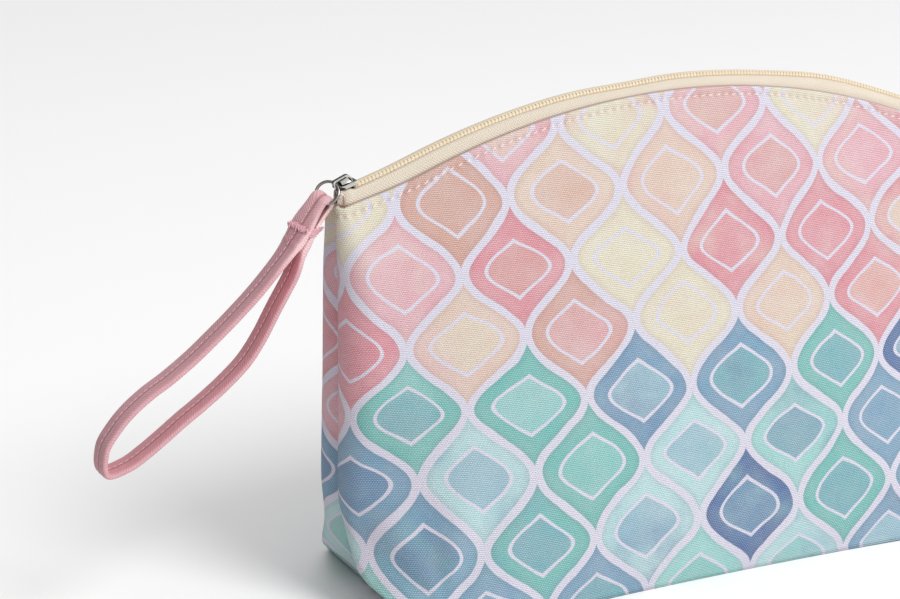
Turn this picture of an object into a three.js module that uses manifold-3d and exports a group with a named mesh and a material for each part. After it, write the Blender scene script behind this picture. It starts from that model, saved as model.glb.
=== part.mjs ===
// A zipped toiletry bag of printed canvas, with a wrist strap on the zip's pull.
// It stands open-bellied on a boxed base, and its side seams are drawn in between two soft folds.
//
// Millimetres, +Z up. The origin is the middle of the base, on the floor. The front faces -Y and the
// zip runs along X, closed, with its slider at the -X end.

import * as THREE from 'three';
import { mergeVertices } from 'three/addons/utils/BufferGeometryUtils.js';
import Module from 'manifold-3d';

const wasm = await Module();
wasm.setup();

const { clamp, degToRad, lerp, smoothstep } = THREE.MathUtils;

// Cloth
const clothWall = 1.5; // thickness of the lined canvas
const seamGap = 0.3; // left between sewn pieces
const baseThickness = 1.6;
const baseGap = 1.2; // from the base to the walls, which lean in over its corners

// The zip's crown: one wide arc over the bag, which flares out into a smaller reversed arc at each end
const zipHalf = 120; // from the middle of the bag to the end of the tapes
const crownHeight = 160.9; // top of the coil, above the floor
const crownRadius = 265;
const flareStart = 95; // distance from the middle
const flareRadius = 250;

// The cloth's top edge, measured from the top of the coil
const edgeOut = 6.2; // forward of the coil's middle
const edgeDropMiddle = 4.2;
const edgeDropEnd = 6.9;

// Zip
const coilHalf = 2.2;
const coilHeight = 2.0;
const chainFrom = -114.5; // the coil's end inside the slider
const chainTo = 117.5;
const tapeThickness = 0.9;
const tapeShoulder = 3.0; // the tape lies flat under the coil as far as here
const tapeSplit = 0.2; // half the gap between the closed tapes
const tapeSplitOpen = 1.2; // the same at the slider's end
const splitFrom = 113.5;
const tapeTuck = 3.5; // how far the tape is sewn in below the cloth's edge
const tapeLift = 1.4; // how far it stays above the edge at the ends, over the side folds
const tuckUntil = 108;
const zipSteps = 36;

// Sections of the front wall at heights above the floor, measured at the bag's sides.
// reach: how far out the side fold comes. depth: how far forward of the side seam its middle stands.
// round: its radius. seam: how far out the side seam lies. belly: how far forward the wall is at the
// middle of the bag. square: how long the wall stays flat before it turns towards the fold.
const sideTop = crownLine(zipHalf) - edgeDropEnd;
const wallRows = [
  { height: 0, reach: 108.3, depth: 36.5, round: 5, seam: 107.8, belly: 37.4, square: 2 },
  { height: 4, reach: 111.8, depth: 31.5, round: 5, seam: 110.6, belly: 38, square: 8 },
  { height: 8, reach: 115.6, depth: 23.3, round: 5, seam: 112.8, belly: 38, square: 8 },
  { height: 12, reach: 118.6, depth: 16.6, round: 5, seam: 114.4, belly: 37.6, square: 7.5 },
  { height: 18, reach: 120.6, depth: 12.2, round: 5, seam: 115.4, belly: 36.8, square: 6.5 },
  { height: 26, reach: 122.1, depth: 8.8, round: 4.9, seam: 116.2, belly: 35.6, square: 5.4 },
  { height: 36, reach: 123, depth: 6.8, round: 4.8, seam: 116.8, belly: 33.6, square: 4.4 },
  { height: 70, reach: 122.6, depth: 6.4, round: 4.7, seam: 116.6, belly: 25.4, square: 3 },
  { height: 105, reach: 122, depth: 5.7, round: 4.2, seam: 117, belly: 14.6, square: 2.6 },
  { height: sideTop, reach: 121.6, depth: 3.6, round: 2.6, seam: 118, belly: edgeOut, square: 2 },
];
const rowSteps = [0, 2, 4, 6, 8, 10, 12, 15, 18, 22, 28, 36, 50, 70, 88, 105, 118, sideTop];
const faceSteps = 10; // from the middle to the fold
const foldSteps = 5;
const returnSteps = 2; // from the fold to the seam

// Slider, in its own frame: x along the zip towards the middle of the bag, z away from the coil
const sliderAt = -117;
const sliderPlate = { from: 0.2, thickness: 0.5, rear: 4.2, half: 3.0, rearHalf: 2.7 };
const sliderShoulder = { from: -1.6, control: -0.9, to: 0.1 }; // where the neck widens into the plate
const sliderNeck = { tip: -4.6, half: 0.75 };
const sliderFlange = { inside: 2.45, drop: 1.3, from: 0.1, to: 4.0 };
const sliderPost = { from: -4.0, to: -2.4, half: 0.6 };
const sliderFoot = { top: -3.7, thickness: 0.7, from: -4.2, to: 3.8, half: 2.2 };
const bridge = { left: -4.5, right: 3.4, half: 0.75, top: 3.3, wall: 0.6 };
const bridgeBend = { left: 1.0, drop: 1.1, lean: 0.4, right: 2.2 }; // how its two ends are rounded

// Pull ring, which hangs with the strap from the bridge
const ringRadius = 3.8; // middle of the wire
const ringWire = 0.42; // radius of the wire
const ringInBridge = { x: -2.7, z: 1.7 }; // where the wire crosses under the bridge

// Strap: a folded tape looped through the ring, tacked to itself and opened into a hand loop.
// along: distance down from the middle of the ring. outer, inner: the two legs' middles, across it.
const strapSwing = degToRad(42.8); // away from straight down, towards -X
const strapTwist = degToRad(35); // of the ring and the strap's upper end, towards the front
const legTwist = degToRad(5); // of the hand loop
const twistFrom = 5;
const twistTo = 28;
const strapWidth = 8.0;
const strapEyeWidth = 5.9;
const strapThickness = 1.7;
const eyeTop = 1.4;
const eyeBottom = 4.55;
const eyeHalf = 0.75;
const strapOpensAt = 14; // below the tack
const strapWideAt = 14;
const strapTipAt = { along: 107.5, across: -0.2 };
const strapRows = [
  { along: 6, outer: -1.5, inner: 1.5 },
  { along: 11, outer: -0.6, inner: 1.1 },
  { along: 16.5, outer: 0.7, inner: 4.2 },
  { along: 26, outer: 1.9, inner: 7.6 },
  { along: 37, outer: 1.5, inner: 10.1 },
  { along: 47.5, outer: 0.6, inner: 12.5 },
  { along: 56, outer: -0.5, inner: 13.4 },
  { along: 65, outer: -1.9, inner: 12.5 },
  { along: 74, outer: -4.0, inner: 10.7 },
  { along: 81.5, outer: -5.9, inner: 8.8 },
  { along: 89, outer: -6.9, inner: 7.2 },
  { along: 96, outer: -6.5, inner: 5.7 },
  { along: 102.5, outer: -5.0, inner: 3.8 },
];
const strapSteps = 64;

// Materials
const canvas = new THREE.MeshStandardMaterial({ color: 0xe3b9b2, roughness: 0.85 });
const canvasBase = new THREE.MeshStandardMaterial({ color: 0x8fb4c4, roughness: 0.85 });
const zipTape = new THREE.MeshStandardMaterial({ color: 0xebdfc0, roughness: 0.8 });
const zipCoil = new THREE.MeshStandardMaterial({ color: 0xe2cf9c, roughness: 0.55 });
const steel = new THREE.MeshStandardMaterial({ color: 0xb9bab8, roughness: 0.3, metalness: 1 });
const strapCotton = new THREE.MeshStandardMaterial({ color: 0xd79aa2, roughness: 0.9 });

// Height of the coil's top at a distance from the middle of the bag
function crownLine(x) {
  const out = Math.min(Math.abs(x), zipHalf);
  const arc = (d) => crownHeight - crownRadius + Math.sqrt(crownRadius ** 2 - d ** 2);
  if (out <= flareStart) return arc(out);
  const angle = Math.asin(flareStart / crownRadius);
  const fromCentre = flareRadius * Math.sin(angle) - (out - flareStart);
  const sag = Math.sqrt(flareRadius ** 2 - fromCentre ** 2) - flareRadius * Math.cos(angle);
  return arc(flareStart) - sag;
}

// Height of the cloth's top edge
function edgeLine(x) {
  const share = Math.min(Math.abs(x) / zipHalf, 1);
  return crownLine(x) - lerp(edgeDropMiddle, edgeDropEnd, share ** 2);
}

// One column of the wall table at any height, on a cubic through its rows that never overshoots them
function wallColumn(name, height) {
  const last = wallRows.length - 1;
  const slope = (i) => {
    const rise = wallRows[i + 1][name] - wallRows[i][name];
    return rise / (wallRows[i + 1].height - wallRows[i].height);
  };
  const tangent = (i) => {
    if (i === 0) return slope(0);
    if (i === last) return slope(last - 1);
    const before = slope(i - 1);
    const after = slope(i);
    return before * after <= 0 ? 0 : (2 * before * after) / (before + after);
  };
  let i = 0;
  while (i < last - 1 && height > wallRows[i + 1].height) i += 1;
  const span = wallRows[i + 1].height - wallRows[i].height;
  const t = (height - wallRows[i].height) / span;
  const start = (1 + 2 * t) * (1 - t) ** 2 * wallRows[i][name];
  const leave = t * (1 - t) ** 2 * span * tangent(i);
  const end = t ** 2 * (3 - 2 * t) * wallRows[i + 1][name];
  const arrive = t ** 2 * (t - 1) * span * tangent(i + 1);
  return start + leave + end + arrive;
}

// Half of the wall's plan at one height, as [out, forward] points from the middle to the side seam:
// the belly, the fold's arc, and the straight return that touches the arc and runs to the seam.
function wallPlan(height) {
  const at = (name) => wallColumn(name, height);
  const round = at('round');
  const centre = new THREE.Vector2(at('reach') - round, at('depth'));
  const seam = new THREE.Vector2(at('seam'), seamGap / 2);
  const onArc = (angle) => [centre.x + round * Math.cos(angle), centre.y + round * Math.sin(angle)];

  let foldStart = Math.PI / 2;
  for (let pass = 0; pass < 12; pass += 1) {
    const [out, forward] = onArc(foldStart);
    const slope = (-at('square') * (at('belly') - forward)) / out;
    foldStart = lerp(foldStart, Math.atan2(1, -slope), 0.6);
  }
  const toSeam = seam.clone().sub(centre);
  const foldEnd = toSeam.angle() - 2 * Math.PI + Math.acos(round / toSeam.length());

  const plan = [];
  const [foldOut, foldForward] = onArc(foldStart);
  for (let i = 0; i < faceSteps; i += 1) {
    const share = Math.sin((i / faceSteps) * (Math.PI / 2));
    const fullness = 1 - share ** at('square');
    plan.push([share * foldOut, lerp(foldForward, at('belly'), fullness)]);
  }
  for (let i = 0; i <= foldSteps; i += 1) plan.push(onArc(lerp(foldStart, foldEnd, i / foldSteps)));
  const [touchOut, touchForward] = plan.at(-1);
  for (let i = 1; i <= returnSteps; i += 1) {
    const share = i / returnSteps;
    plan.push([lerp(touchOut, seam.x, share), lerp(touchForward, seam.y, share)]);
  }
  return plan;
}

// The outside of a wall as columns of points from the floor up, from one side seam to the other.
// side is -1 for the front wall and 1 for the back one.
function wallSkin(side) {
  const rows = rowSteps.map((height) => {
    const half = wallPlan(height).map(([out, forward]) => {
      const z = (height / sideTop) * edgeLine(out);
      return new THREE.Vector3(out, side * forward, z);
    });
    const mirrored = half.slice(1).map((p) => new THREE.Vector3(-p.x, p.y, p.z));
    return [...mirrored.reverse(), ...half];
  });
  return rows[0].map((_, column) => rows.map((row) => row[column]));
}

// Points moved in from a skin by the cloth's thickness, with the lowest row kept on the floor
function lining(skin, side) {
  const lastColumn = skin.length - 1;
  const lastRow = skin[0].length - 1;
  return skin.map((column, i) => column.map((point, j) => {
    const across = skin[Math.min(i + 1, lastColumn)][j].clone().sub(skin[Math.max(i - 1, 0)][j]);
    const up = column[Math.min(j + 1, lastRow)].clone().sub(column[Math.max(j - 1, 0)]);
    const inward = up.cross(across).multiplyScalar(-side).normalize();
    const inside = point.clone().addScaledVector(inward, clothWall);
    if (j === 0) inside.z = 0;
    return inside;
  }));
}

// A closed geometry from points and triangles, turned so that its faces point out
function closedGeometry(points, triangles) {
  const volume = triangles.reduce((sum, [a, b, c]) => {
    const normal = points[b].clone().cross(points[c]);
    return sum + points[a].dot(normal);
  }, 0);
  const turned = volume > 0 ? triangles : triangles.map(([a, b, c]) => [a, c, b]);
  const geometry = new THREE.BufferGeometry().setFromPoints(points);
  geometry.setIndex(turned.flat());
  geometry.computeVertexNormals();
  return geometry;
}

// A closed shell between an outside and an inside, each given as stations of equally many points
function shell(outside, inside) {
  const rows = outside[0].length;
  const loops = outside.map((line, i) => [...line, ...[...inside[i]].reverse()]);
  const round = 2 * rows;
  const triangles = [];
  const quad = (a, b, c, d) => triangles.push([a, b, c], [a, c, d]);
  for (let i = 0; i + 1 < loops.length; i += 1) {
    for (let j = 0; j < round; j += 1) {
      const next = (j + 1) % round;
      quad(i * round + j, i * round + next, (i + 1) * round + next, (i + 1) * round + j);
    }
  }
  for (const [end, sense] of [[0, 1], [(loops.length - 1) * round, -1]]) {
    for (let j = 0; j + 1 < rows; j += 1) {
      const corners = [end + j, end + round - 1 - j, end + round - 2 - j, end + j + 1];
      quad(...(sense > 0 ? corners : corners.reverse()));
    }
  }
  return closedGeometry(loops.flat(), triangles);
}

function panel(side) {
  const skin = wallSkin(side);
  return shell(skin, lining(skin, side));
}

// The base fills the plan between the walls' lowest rows, where they leave most room
function basePanel() {
  const inset = clothWall + baseGap;
  const above = wallPlan(baseThickness);
  const half = wallPlan(0).map(([out, forward], i) => [
    Math.max(Math.min(out, above[i][0]) - inset, 0),
    Math.min(forward, above[i][1]) - inset,
  ]);
  const quarter = half.filter(([, forward]) => forward > 0);
  const outline = [
    ...quarter.map(([x, y]) => [x, -y]),
    ...quarter.map(([x, y]) => [x, y]).reverse(),
    ...quarter.slice(1).map(([x, y]) => [-x, y]),
    ...quarter.slice(1).map(([x, y]) => [-x, -y]).reverse(),
  ];
  const shape = new THREE.Shape(outline.map(([x, y]) => new THREE.Vector2(x, y)));
  return new THREE.ExtrudeGeometry(shape, { depth: baseThickness, bevelEnabled: false });
}

const zipStations = (from, to) => Array.from(
  { length: zipSteps + 1 },
  (_, i) => lerp(from, to, i / zipSteps),
);

// A tape: flat under the coil, bent down over its shoulder, and tucked in behind the cloth's edge
function zipTapeGeometry(side) {
  const hem = edgeOut - clothWall - 1.5 * seamGap;
  const outside = [];
  const inside = [];
  for (const x of zipStations(-zipHalf, zipHalf)) {
    const top = crownLine(x) - coilHeight - seamGap;
    const edge = edgeLine(x);
    const nearEnd = smoothstep(Math.abs(x), tuckUntil, zipHalf - 4);
    const lowest = edge + lerp(-tapeTuck, tapeLift, nearEnd);
    const bend = Math.max(edge + seamGap, lowest + 2 * seamGap);
    const open = x < 0 ? clamp((-x - splitFrom) / (zipHalf - splitFrom), 0, 1) : 0;
    const split = lerp(tapeSplit, tapeSplitOpen, open);
    const at = (out, z) => new THREE.Vector3(x, side * out, z);
    outside.push([at(split, top), at(tapeShoulder, top), at(hem, bend), at(hem, lowest)]);
    inside.push([
      at(split, top - tapeThickness),
      at(tapeShoulder - tapeThickness / 2, top - tapeThickness),
      at(hem - tapeThickness, bend - tapeThickness / 2),
      at(hem - tapeThickness, lowest),
    ]);
  }
  return shell(outside, inside);
}

// The closed coil: a half-round bead on the two tapes
function zipChainGeometry() {
  const outside = [];
  const inside = [];
  const bead = [-1, -0.7, 0, 0.7, 1];
  for (const x of zipStations(chainFrom, chainTo)) {
    const foot = crownLine(x) - coilHeight;
    const rise = (share) => coilHeight * (0.25 + 0.75 * Math.sqrt(1 - share ** 2));
    outside.push(bead.map((s) => new THREE.Vector3(x, s * coilHalf, foot + rise(s))));
    inside.push(bead.map((s) => new THREE.Vector3(x, s * coilHalf, foot)));
  }
  return shell(outside, inside);
}

function solidOf(geometry) {
  const bare = geometry.clone();
  bare.deleteAttribute('normal');
  bare.deleteAttribute('uv');
  const merged = mergeVertices(bare, 1e-4);
  return new wasm.Manifold(new wasm.Mesh({
    numProp: 3,
    vertProperties: new Float32Array(merged.attributes.position.array),
    triVerts: new Uint32Array(merged.index.array),
  }));
}

function geometryOf(solid) {
  const mesh = solid.getMesh();
  const geometry = new THREE.BufferGeometry();
  geometry.setAttribute('position', new THREE.BufferAttribute(mesh.vertProperties, 3));
  geometry.setIndex(new THREE.BufferAttribute(mesh.triVerts, 1));
  geometry.computeVertexNormals();
  return geometry;
}

// A box between two x, two y and two z values
function block([x0, x1], [y0, y1], [z0, z1]) {
  const geometry = new THREE.BoxGeometry(x1 - x0, y1 - y0, z1 - z0);
  return geometry.translate((x0 + x1) / 2, (y0 + y1) / 2, (z0 + z1) / 2);
}

// The slider's top plate: wide shoulders, and a narrow neck that carries the bridge's front foot
function sliderPlateGeometry() {
  const { from, thickness, rear, half, rearHalf } = sliderPlate;
  const { from: narrow, control, to: wide } = sliderShoulder;
  const outline = new THREE.Shape();
  outline.moveTo(sliderNeck.tip, -sliderNeck.half);
  outline.lineTo(narrow, -sliderNeck.half);
  outline.quadraticCurveTo(control, -half, wide, -half);
  outline.lineTo(rear, -rearHalf);
  outline.lineTo(rear, rearHalf);
  outline.lineTo(wide, half);
  outline.quadraticCurveTo(control, half, narrow, sliderNeck.half);
  outline.lineTo(sliderNeck.tip, sliderNeck.half);
  const options = { depth: thickness, bevelEnabled: false, curveSegments: 5 };
  return new THREE.ExtrudeGeometry(outline, options).translate(0, 0, from);
}

// The bridge: an arch along the slider, open right through for the ring
function bridgeGeometry() {
  const { left, right, half, top, wall } = bridge;
  const foot = sliderPlate.from + sliderPlate.thickness / 2;
  const arch = (inset, low, high) => {
    const path = new THREE.Path();
    const start = left + inset;
    const end = right - inset;
    path.moveTo(start, low);
    path.lineTo(end, low);
    path.quadraticCurveTo(end - bridgeBend.lean, high, end - bridgeBend.right, high);
    path.lineTo(start + bridgeBend.left, high);
    path.quadraticCurveTo(start, high, start, high - bridgeBend.drop);
    path.lineTo(start, low);
    return path;
  };
  const profile = new THREE.Shape(arch(0, foot, top).getPoints(5));
  const tunnelFloor = sliderPlate.from + sliderPlate.thickness;
  profile.holes.push(new THREE.Path(arch(wall, tunnelFloor, top - wall).getPoints(5)));
  const geometry = new THREE.ExtrudeGeometry(profile, { depth: 2 * half, bevelEnabled: false });
  return geometry.rotateX(Math.PI / 2).translate(0, half, 0);
}

function sliderGeometry() {
  const plateMiddle = sliderPlate.from + sliderPlate.thickness / 2;
  const { inside, drop, from, to } = sliderFlange;
  const footLow = sliderFoot.top - sliderFoot.thickness;
  const pieces = [
    bridgeGeometry(),
    block([from, to], [inside, sliderPlate.half], [-drop, plateMiddle]),
    block([from, to], [-sliderPlate.half, -inside], [-drop, plateMiddle]),
    block([sliderPost.from, sliderPost.to], [-sliderPost.half, sliderPost.half], [footLow, plateMiddle]),
    block([sliderFoot.from, sliderFoot.to], [-sliderFoot.half, sliderFoot.half], [footLow, sliderFoot.top]),
  ];
  const joined = pieces.reduce((solid, piece) => solid.add(solidOf(piece)), solidOf(sliderPlateGeometry()));
  return geometryOf(joined);
}

// The strap's side view, with its eye and its hand loop cut out, drawn out to the tape's width
function strapGeometry() {
  const start = (eyeHalf + strapThickness / 2);
  const down = strapRows.map(({ along, outer }) => new THREE.Vector2(outer, -along));
  const back = strapRows.map(({ along, inner }) => new THREE.Vector2(inner, -along)).reverse();
  const line = new THREE.SplineCurve([
    new THREE.Vector2(-start, -eyeTop - eyeHalf),
    ...down,
    new THREE.Vector2(strapTipAt.across, -strapTipAt.along),
    ...back,
    new THREE.Vector2(start, -eyeTop - eyeHalf),
  ]);
  const beside = (away) => Array.from({ length: strapSteps + 1 }, (_, i) => {
    const point = line.getPointAt(i / strapSteps);
    const tangent = line.getTangentAt(i / strapSteps);
    return new THREE.Vector2(point.x + away * tangent.y, point.y - away * tangent.x);
  });
  const outline = new THREE.Shape(beside(strapThickness / 2));
  outline.absarc(0, -eyeTop - eyeHalf, eyeHalf + strapThickness, 0, Math.PI, false);
  outline.holes.push(new THREE.Path(
    beside(-strapThickness / 2).filter((point) => -point.y > strapOpensAt),
  ));
  const eye = new THREE.Path();
  eye.absarc(0, -eyeTop - eyeHalf, eyeHalf, 0, Math.PI, false);
  eye.absarc(0, -eyeBottom + eyeHalf, eyeHalf, Math.PI, 2 * Math.PI, false);
  outline.holes.push(eye);
  const options = { depth: strapWidth, bevelEnabled: false, curveSegments: 8 };
  const geometry = new THREE.ExtrudeGeometry(outline, options).translate(0, 0, -strapWidth / 2);
  const places = geometry.attributes.position;
  const place = new THREE.Vector3();
  for (let i = 0; i < places.count; i += 1) {
    place.fromBufferAttribute(places, i);
    const wide = smoothstep(-place.y, eyeBottom, strapWideAt);
    place.z *= lerp(strapEyeWidth / strapWidth, 1, wide);
    const twisted = 1 - smoothstep(-place.y, twistFrom, twistTo);
    place.applyAxisAngle(THREE.Object3D.DEFAULT_UP, lerp(legTwist, strapTwist, twisted));
    places.setXYZ(i, place.x, place.y, place.z);
  }
  return geometry;
}

function named(name, geometry, material) {
  const mesh = new THREE.Mesh(geometry, material);
  mesh.name = name;
  return mesh;
}

const bag = new THREE.Group();
bag.add(
  named('front_panel', panel(-1), canvas),
  named('back_panel', panel(1), canvas),
  named('base_panel', basePanel(), canvasBase),
  named('zip_tape_front', zipTapeGeometry(-1), zipTape),
  named('zip_tape_back', zipTapeGeometry(1), zipTape),
  named('zip_chain', zipChainGeometry(), zipCoil),
);

// The slider follows the crown's slope at its place
const slide = new THREE.Group();
slide.position.set(sliderAt, 0, crownLine(sliderAt));
slide.rotation.y = -Math.atan2(crownLine(sliderAt + 1) - crownLine(sliderAt - 1), 2);
slide.add(named('zip_slider', sliderGeometry(), steel));
bag.add(slide);

// The ring and the strap hang from the bridge, swung out in the zip's own plane:
// x runs across the strap's loop, -y down the strap and z across the tape
slide.updateMatrixWorld();
const hang = new THREE.Group();
const swing = new THREE.Group();
hang.rotation.x = Math.PI / 2;
swing.rotation.z = -strapSwing;
bag.add(hang.add(swing));
bag.updateMatrixWorld();
const downStrap = new THREE.Vector3(0, -1, 0).transformDirection(swing.matrixWorld);
hang.position.copy(slide.localToWorld(new THREE.Vector3(ringInBridge.x, 0, ringInBridge.z)));
hang.position.addScaledVector(downStrap, ringRadius);

const ring = named('pull_ring', new THREE.TorusGeometry(ringRadius, ringWire, 8, 24), steel);
ring.rotation.y = Math.PI / 2 + strapTwist;
swing.add(ring, named('wrist_strap', strapGeometry(), strapCotton));

export default bag;
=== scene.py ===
"""The looks of a zipped toiletry bag: printed canvas walls, coil zip, slider, ring and wrist strap."""

import math
from collections import namedtuple

import bpy
import numpy as np
from bpy.props import FloatProperty, FloatVectorProperty, PointerProperty
from mathutils import Matrix, Vector, noise


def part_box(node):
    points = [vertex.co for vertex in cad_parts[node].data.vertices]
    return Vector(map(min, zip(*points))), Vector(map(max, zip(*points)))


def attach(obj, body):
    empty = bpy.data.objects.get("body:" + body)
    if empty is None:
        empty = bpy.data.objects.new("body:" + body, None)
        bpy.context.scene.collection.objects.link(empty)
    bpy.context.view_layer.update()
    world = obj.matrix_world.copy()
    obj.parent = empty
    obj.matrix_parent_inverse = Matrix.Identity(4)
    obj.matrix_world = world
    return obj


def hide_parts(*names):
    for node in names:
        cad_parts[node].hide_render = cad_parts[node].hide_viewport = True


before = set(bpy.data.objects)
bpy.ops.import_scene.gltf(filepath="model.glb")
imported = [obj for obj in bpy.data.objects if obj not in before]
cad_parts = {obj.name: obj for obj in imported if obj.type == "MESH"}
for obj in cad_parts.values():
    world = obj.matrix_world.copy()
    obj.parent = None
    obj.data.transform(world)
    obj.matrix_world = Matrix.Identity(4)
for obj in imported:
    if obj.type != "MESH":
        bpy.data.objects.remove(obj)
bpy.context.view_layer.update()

bl_info = {
    "name": "Toiletry Bag",
    "version": (1, 0, 0),
    "blender": (4, 5, 0),
    "location": "View3D > Sidebar > Toiletry Bag",
    "description": "Dresses a zipped canvas toiletry bag: cloth, stitches, zip, slider, ring and strap",
    "category": "Object",
}

RING_MIDDLE = sum(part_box("pull_ring"), Vector()) / 2
MM = 0.001

# The zip's crown: one wide arc over the bag, which flares into a smaller reversed arc at each end
ZIP_HALF = 120.0 * MM
CROWN_HEIGHT = 160.9 * MM
CROWN_RADIUS = 265.0 * MM
FLARE_START = 95.0 * MM
FLARE_RADIUS = 250.0 * MM

# The cloth's top edge, measured from the top of the coil, and where it lifts towards the zip's ends
EDGE_OUT = 6.2 * MM
EDGE_DROP = 4.5 * MM
EDGE_SAG = 2.4 * MM
EDGE_LIFT = 1.9 * MM
EDGE_LIFTS = (90.0 * MM, 122.0 * MM)

# Sections of the wall at heights above the floor, measured at the bag's sides, in millimetres.
# reach: how far out the side fold comes. depth: how far forward of the side seam its middle stands.
# round: its radius. seam: how far out the side seam lies. belly: how far forward the wall is at the
# middle of the bag. square: how long the wall stays flat before it turns towards the fold.
# widen: how many times wider the fold turns on its front than round its edge.
Section = namedtuple("Section", "height reach depth round seam belly square widen")
WALL_ROWS = [
    Section(0.0, 108.3, 36.5, 5.0, 107.8, 37.4, 2.0, 1.0),
    Section(4.0, 111.8, 31.5, 5.0, 110.6, 38.0, 8.0, 1.0),
    Section(8.0, 115.6, 23.3, 5.0, 113.2, 38.0, 8.0, 1.0),
    Section(12.0, 118.6, 16.6, 5.0, 115.4, 37.6, 7.5, 1.0),
    Section(18.0, 120.6, 12.2, 5.0, 117.0, 36.8, 6.5, 1.0),
    Section(26.0, 122.0, 8.8, 5.8, 118.2, 35.6, 5.4, 1.0),
    Section(36.0, 122.8, 6.8, 6.6, 119.2, 33.6, 4.4, 1.3),
    Section(70.0, 122.4, 6.4, 6.7, 119.3, 25.4, 3.0, 1.75),
    Section(105.0, 121.8, 5.7, 6.1, 119.3, 14.8, 2.6, 1.5),
    Section(129.0, 121.6, 3.6, 2.6, 119.4, 6.2, 2.0, 1.0),
]
SIDE_TOP = WALL_ROWS[-1].height * MM
WIDENS_FROM = math.radians(15.0)
FIT_ROUNDS = 12
FIT_STEP = 0.6
SEAM_HALF_GAP = 0.1 * MM
SEAM_TURN = 3.0 * MM
SEAM_TURN_SHARES = (0.35, 1.0)

# The wall's grid: columns on half the face, round the fold and back to the seam, and rows in three bands.
# The width row is the one whose length counts as the flat cloth's width.
FACE_STEPS = 84
FACE_CROWDING = 0.35
FOLD_STEPS = 18
RETURN_STEPS = 6
FLOOR_BAND = 30.0 * MM
HEM_BAND = 118.0 * MM
BAND_ROWS = (21, 41, 20)

# Soft waves in the cloth, which fade towards the floor and the hem
LONG_WAVE = 46.0 * MM
LONG_WAVE_HEIGHT = 0.55 * MM
SHORT_WAVE = 19.0 * MM
SHORT_WAVE_HEIGHT = 0.14 * MM
SHORT_WAVE_LAYER = 90.0 * MM
WAVES_ABOVE_FLOOR = (2.0 * MM, 16.0 * MM)
WAVES_BELOW_EDGE = (3.0 * MM, 22.0 * MM)

# Creases that run out from each lower corner, most of them at some distance from it
CREASE_OUT = 99.0 * MM
CREASE_UP = 5.0 * MM
CREASES_ROUND = 9
CREASE_FAR = 26.0 * MM
CREASE_SPREAD = 17.0 * MM
CREASE_HEIGHT = 0.6 * MM
CREASE_PHASE_LEFT = 0.6
CREASE_PHASE_RIGHT = 2.1

# The hem puffs above its topstitches, is pinched by them and relaxes below
HemRidge = namedtuple("HemRidge", "below spread height")
HEM_RIDGES = [
    HemRidge(1.1 * MM, 0.9 * MM, 0.16 * MM),
    HemRidge(2.7 * MM, 0.8 * MM, -0.22 * MM),
    HemRidge(5.5 * MM, 1.8 * MM, 0.08 * MM),
]

# Columns at the side seams that stay smooth, those where the waves come in, and the hem's rounded top
STILL_COLUMNS = 2
EASE_COLUMNS = 10
HEM_ROLL_STEPS = 5
HEM_ROLL_MAP = (0.3 * MM, 1.5 * MM)

# Stitches: the columns that they leave free, their share of the pitch and their height out of the cloth
TOPSTITCH_FREE = RETURN_STEPS + 4
TOPSTITCH_SHARE = 0.66
TOPSTITCH_SLANT = math.radians(14.0)
STITCH_RAISED = 0.18
STITCH_BLUNT = 0.8
STITCH_DIP = 0.9

# The base: its distance from the walls, its corners and the room over and under it
BASE_INSET = 1.2 * MM
BASE_CORNER = 3.0 * MM
BASE_END = 0.2 * MM
BASE_OVER = 0.2 * MM
BASE_UNDER = 0.12 * MM
BASE_STATIONS = 120
BASE_POINTS = 48
FAR_FROM_HEM = 100.0 * MM

# The zip's tapes. They lie under the coil, come up beside it and go down behind the cloth's edge.
# At the left end, past the coil, they rise and part.
TAPE_THICKNESS = 0.8 * MM
TAPE_DROP_SHARE = 0.8
TAPE_OVERRUN = 0.15 * MM
TAPE_STATIONS = 260
TAPE_STEPS = (3, 3, 8, 3)
TAPE_RISES = (114.9 * MM, 116.6 * MM)
TAPE_SPLIT = (0.25 * MM, 1.3 * MM)
TAPE_SPLITS_FROM = 113.0 * MM
TAPE_SHOULDER_MM = (2.1, 1.4)
TAPE_END_SHOULDER = 1.0 * MM
TAPE_FOOT = 0.3 * MM
TAPE_END_FOOT = 1.05 * MM
TAPE_END_GAP = 0.65 * MM
TAPE_UNDER_COIL = (0.1 * MM, 0.2 * MM)
TAPE_BESIDE_COIL = 0.8 * MM
TAPE_BULGE = 0.25 * MM
TAPE_BULGE_SLANT = 0.7
TAPE_SWAY_MM = 0.14
TAPE_SWAY_LENGTH = 14.0 * MM
TAPE_SWAY_APART = 3.0
TAPE_TUCK_SLANT = 0.3
TAPE_TURN = 0.62
TAPE_TURNS_FROM = 117.0 * MM
TAPE_TURNS_OVER = 3.2 * MM
HEM_ROOM = 0.3 * MM
HEM_COVER = 0.2 * MM

# The coil: its slight wave along the zip, with drops in millimetres, and the core under its turns
CoilWave = namedtuple("CoilWave", "at spread drop")
COIL_DROP = 0.32
COIL_SINKS = CoilWave(-20.0 * MM, 14.0 * MM, 0.7)
COIL_LIFTS = CoilWave(57.0 * MM, 17.0 * MM, -0.8)
CORE_INSET = 0.22 * MM
CORE_FOOT = 0.42 * MM
CORE_SIDE = 0.2
CORE_RISE = 0.558
CORE_ROUND = 0.93
CORE_UNDERSIDE = 0.98
CORE_STEPS = 8
CORE_STATIONS = 200

# One turn of the coil, in millimetres
TURN_RADIUS = 0.36
TURN_LENGTH = 2.5
TURN_BEVEL = 0.16
TURN_CUTS = (0.35, 0.85)
TURN_BENDS_FROM = -0.5
TURN_BEND = 0.24
TURN_OUT = 0.85

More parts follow.
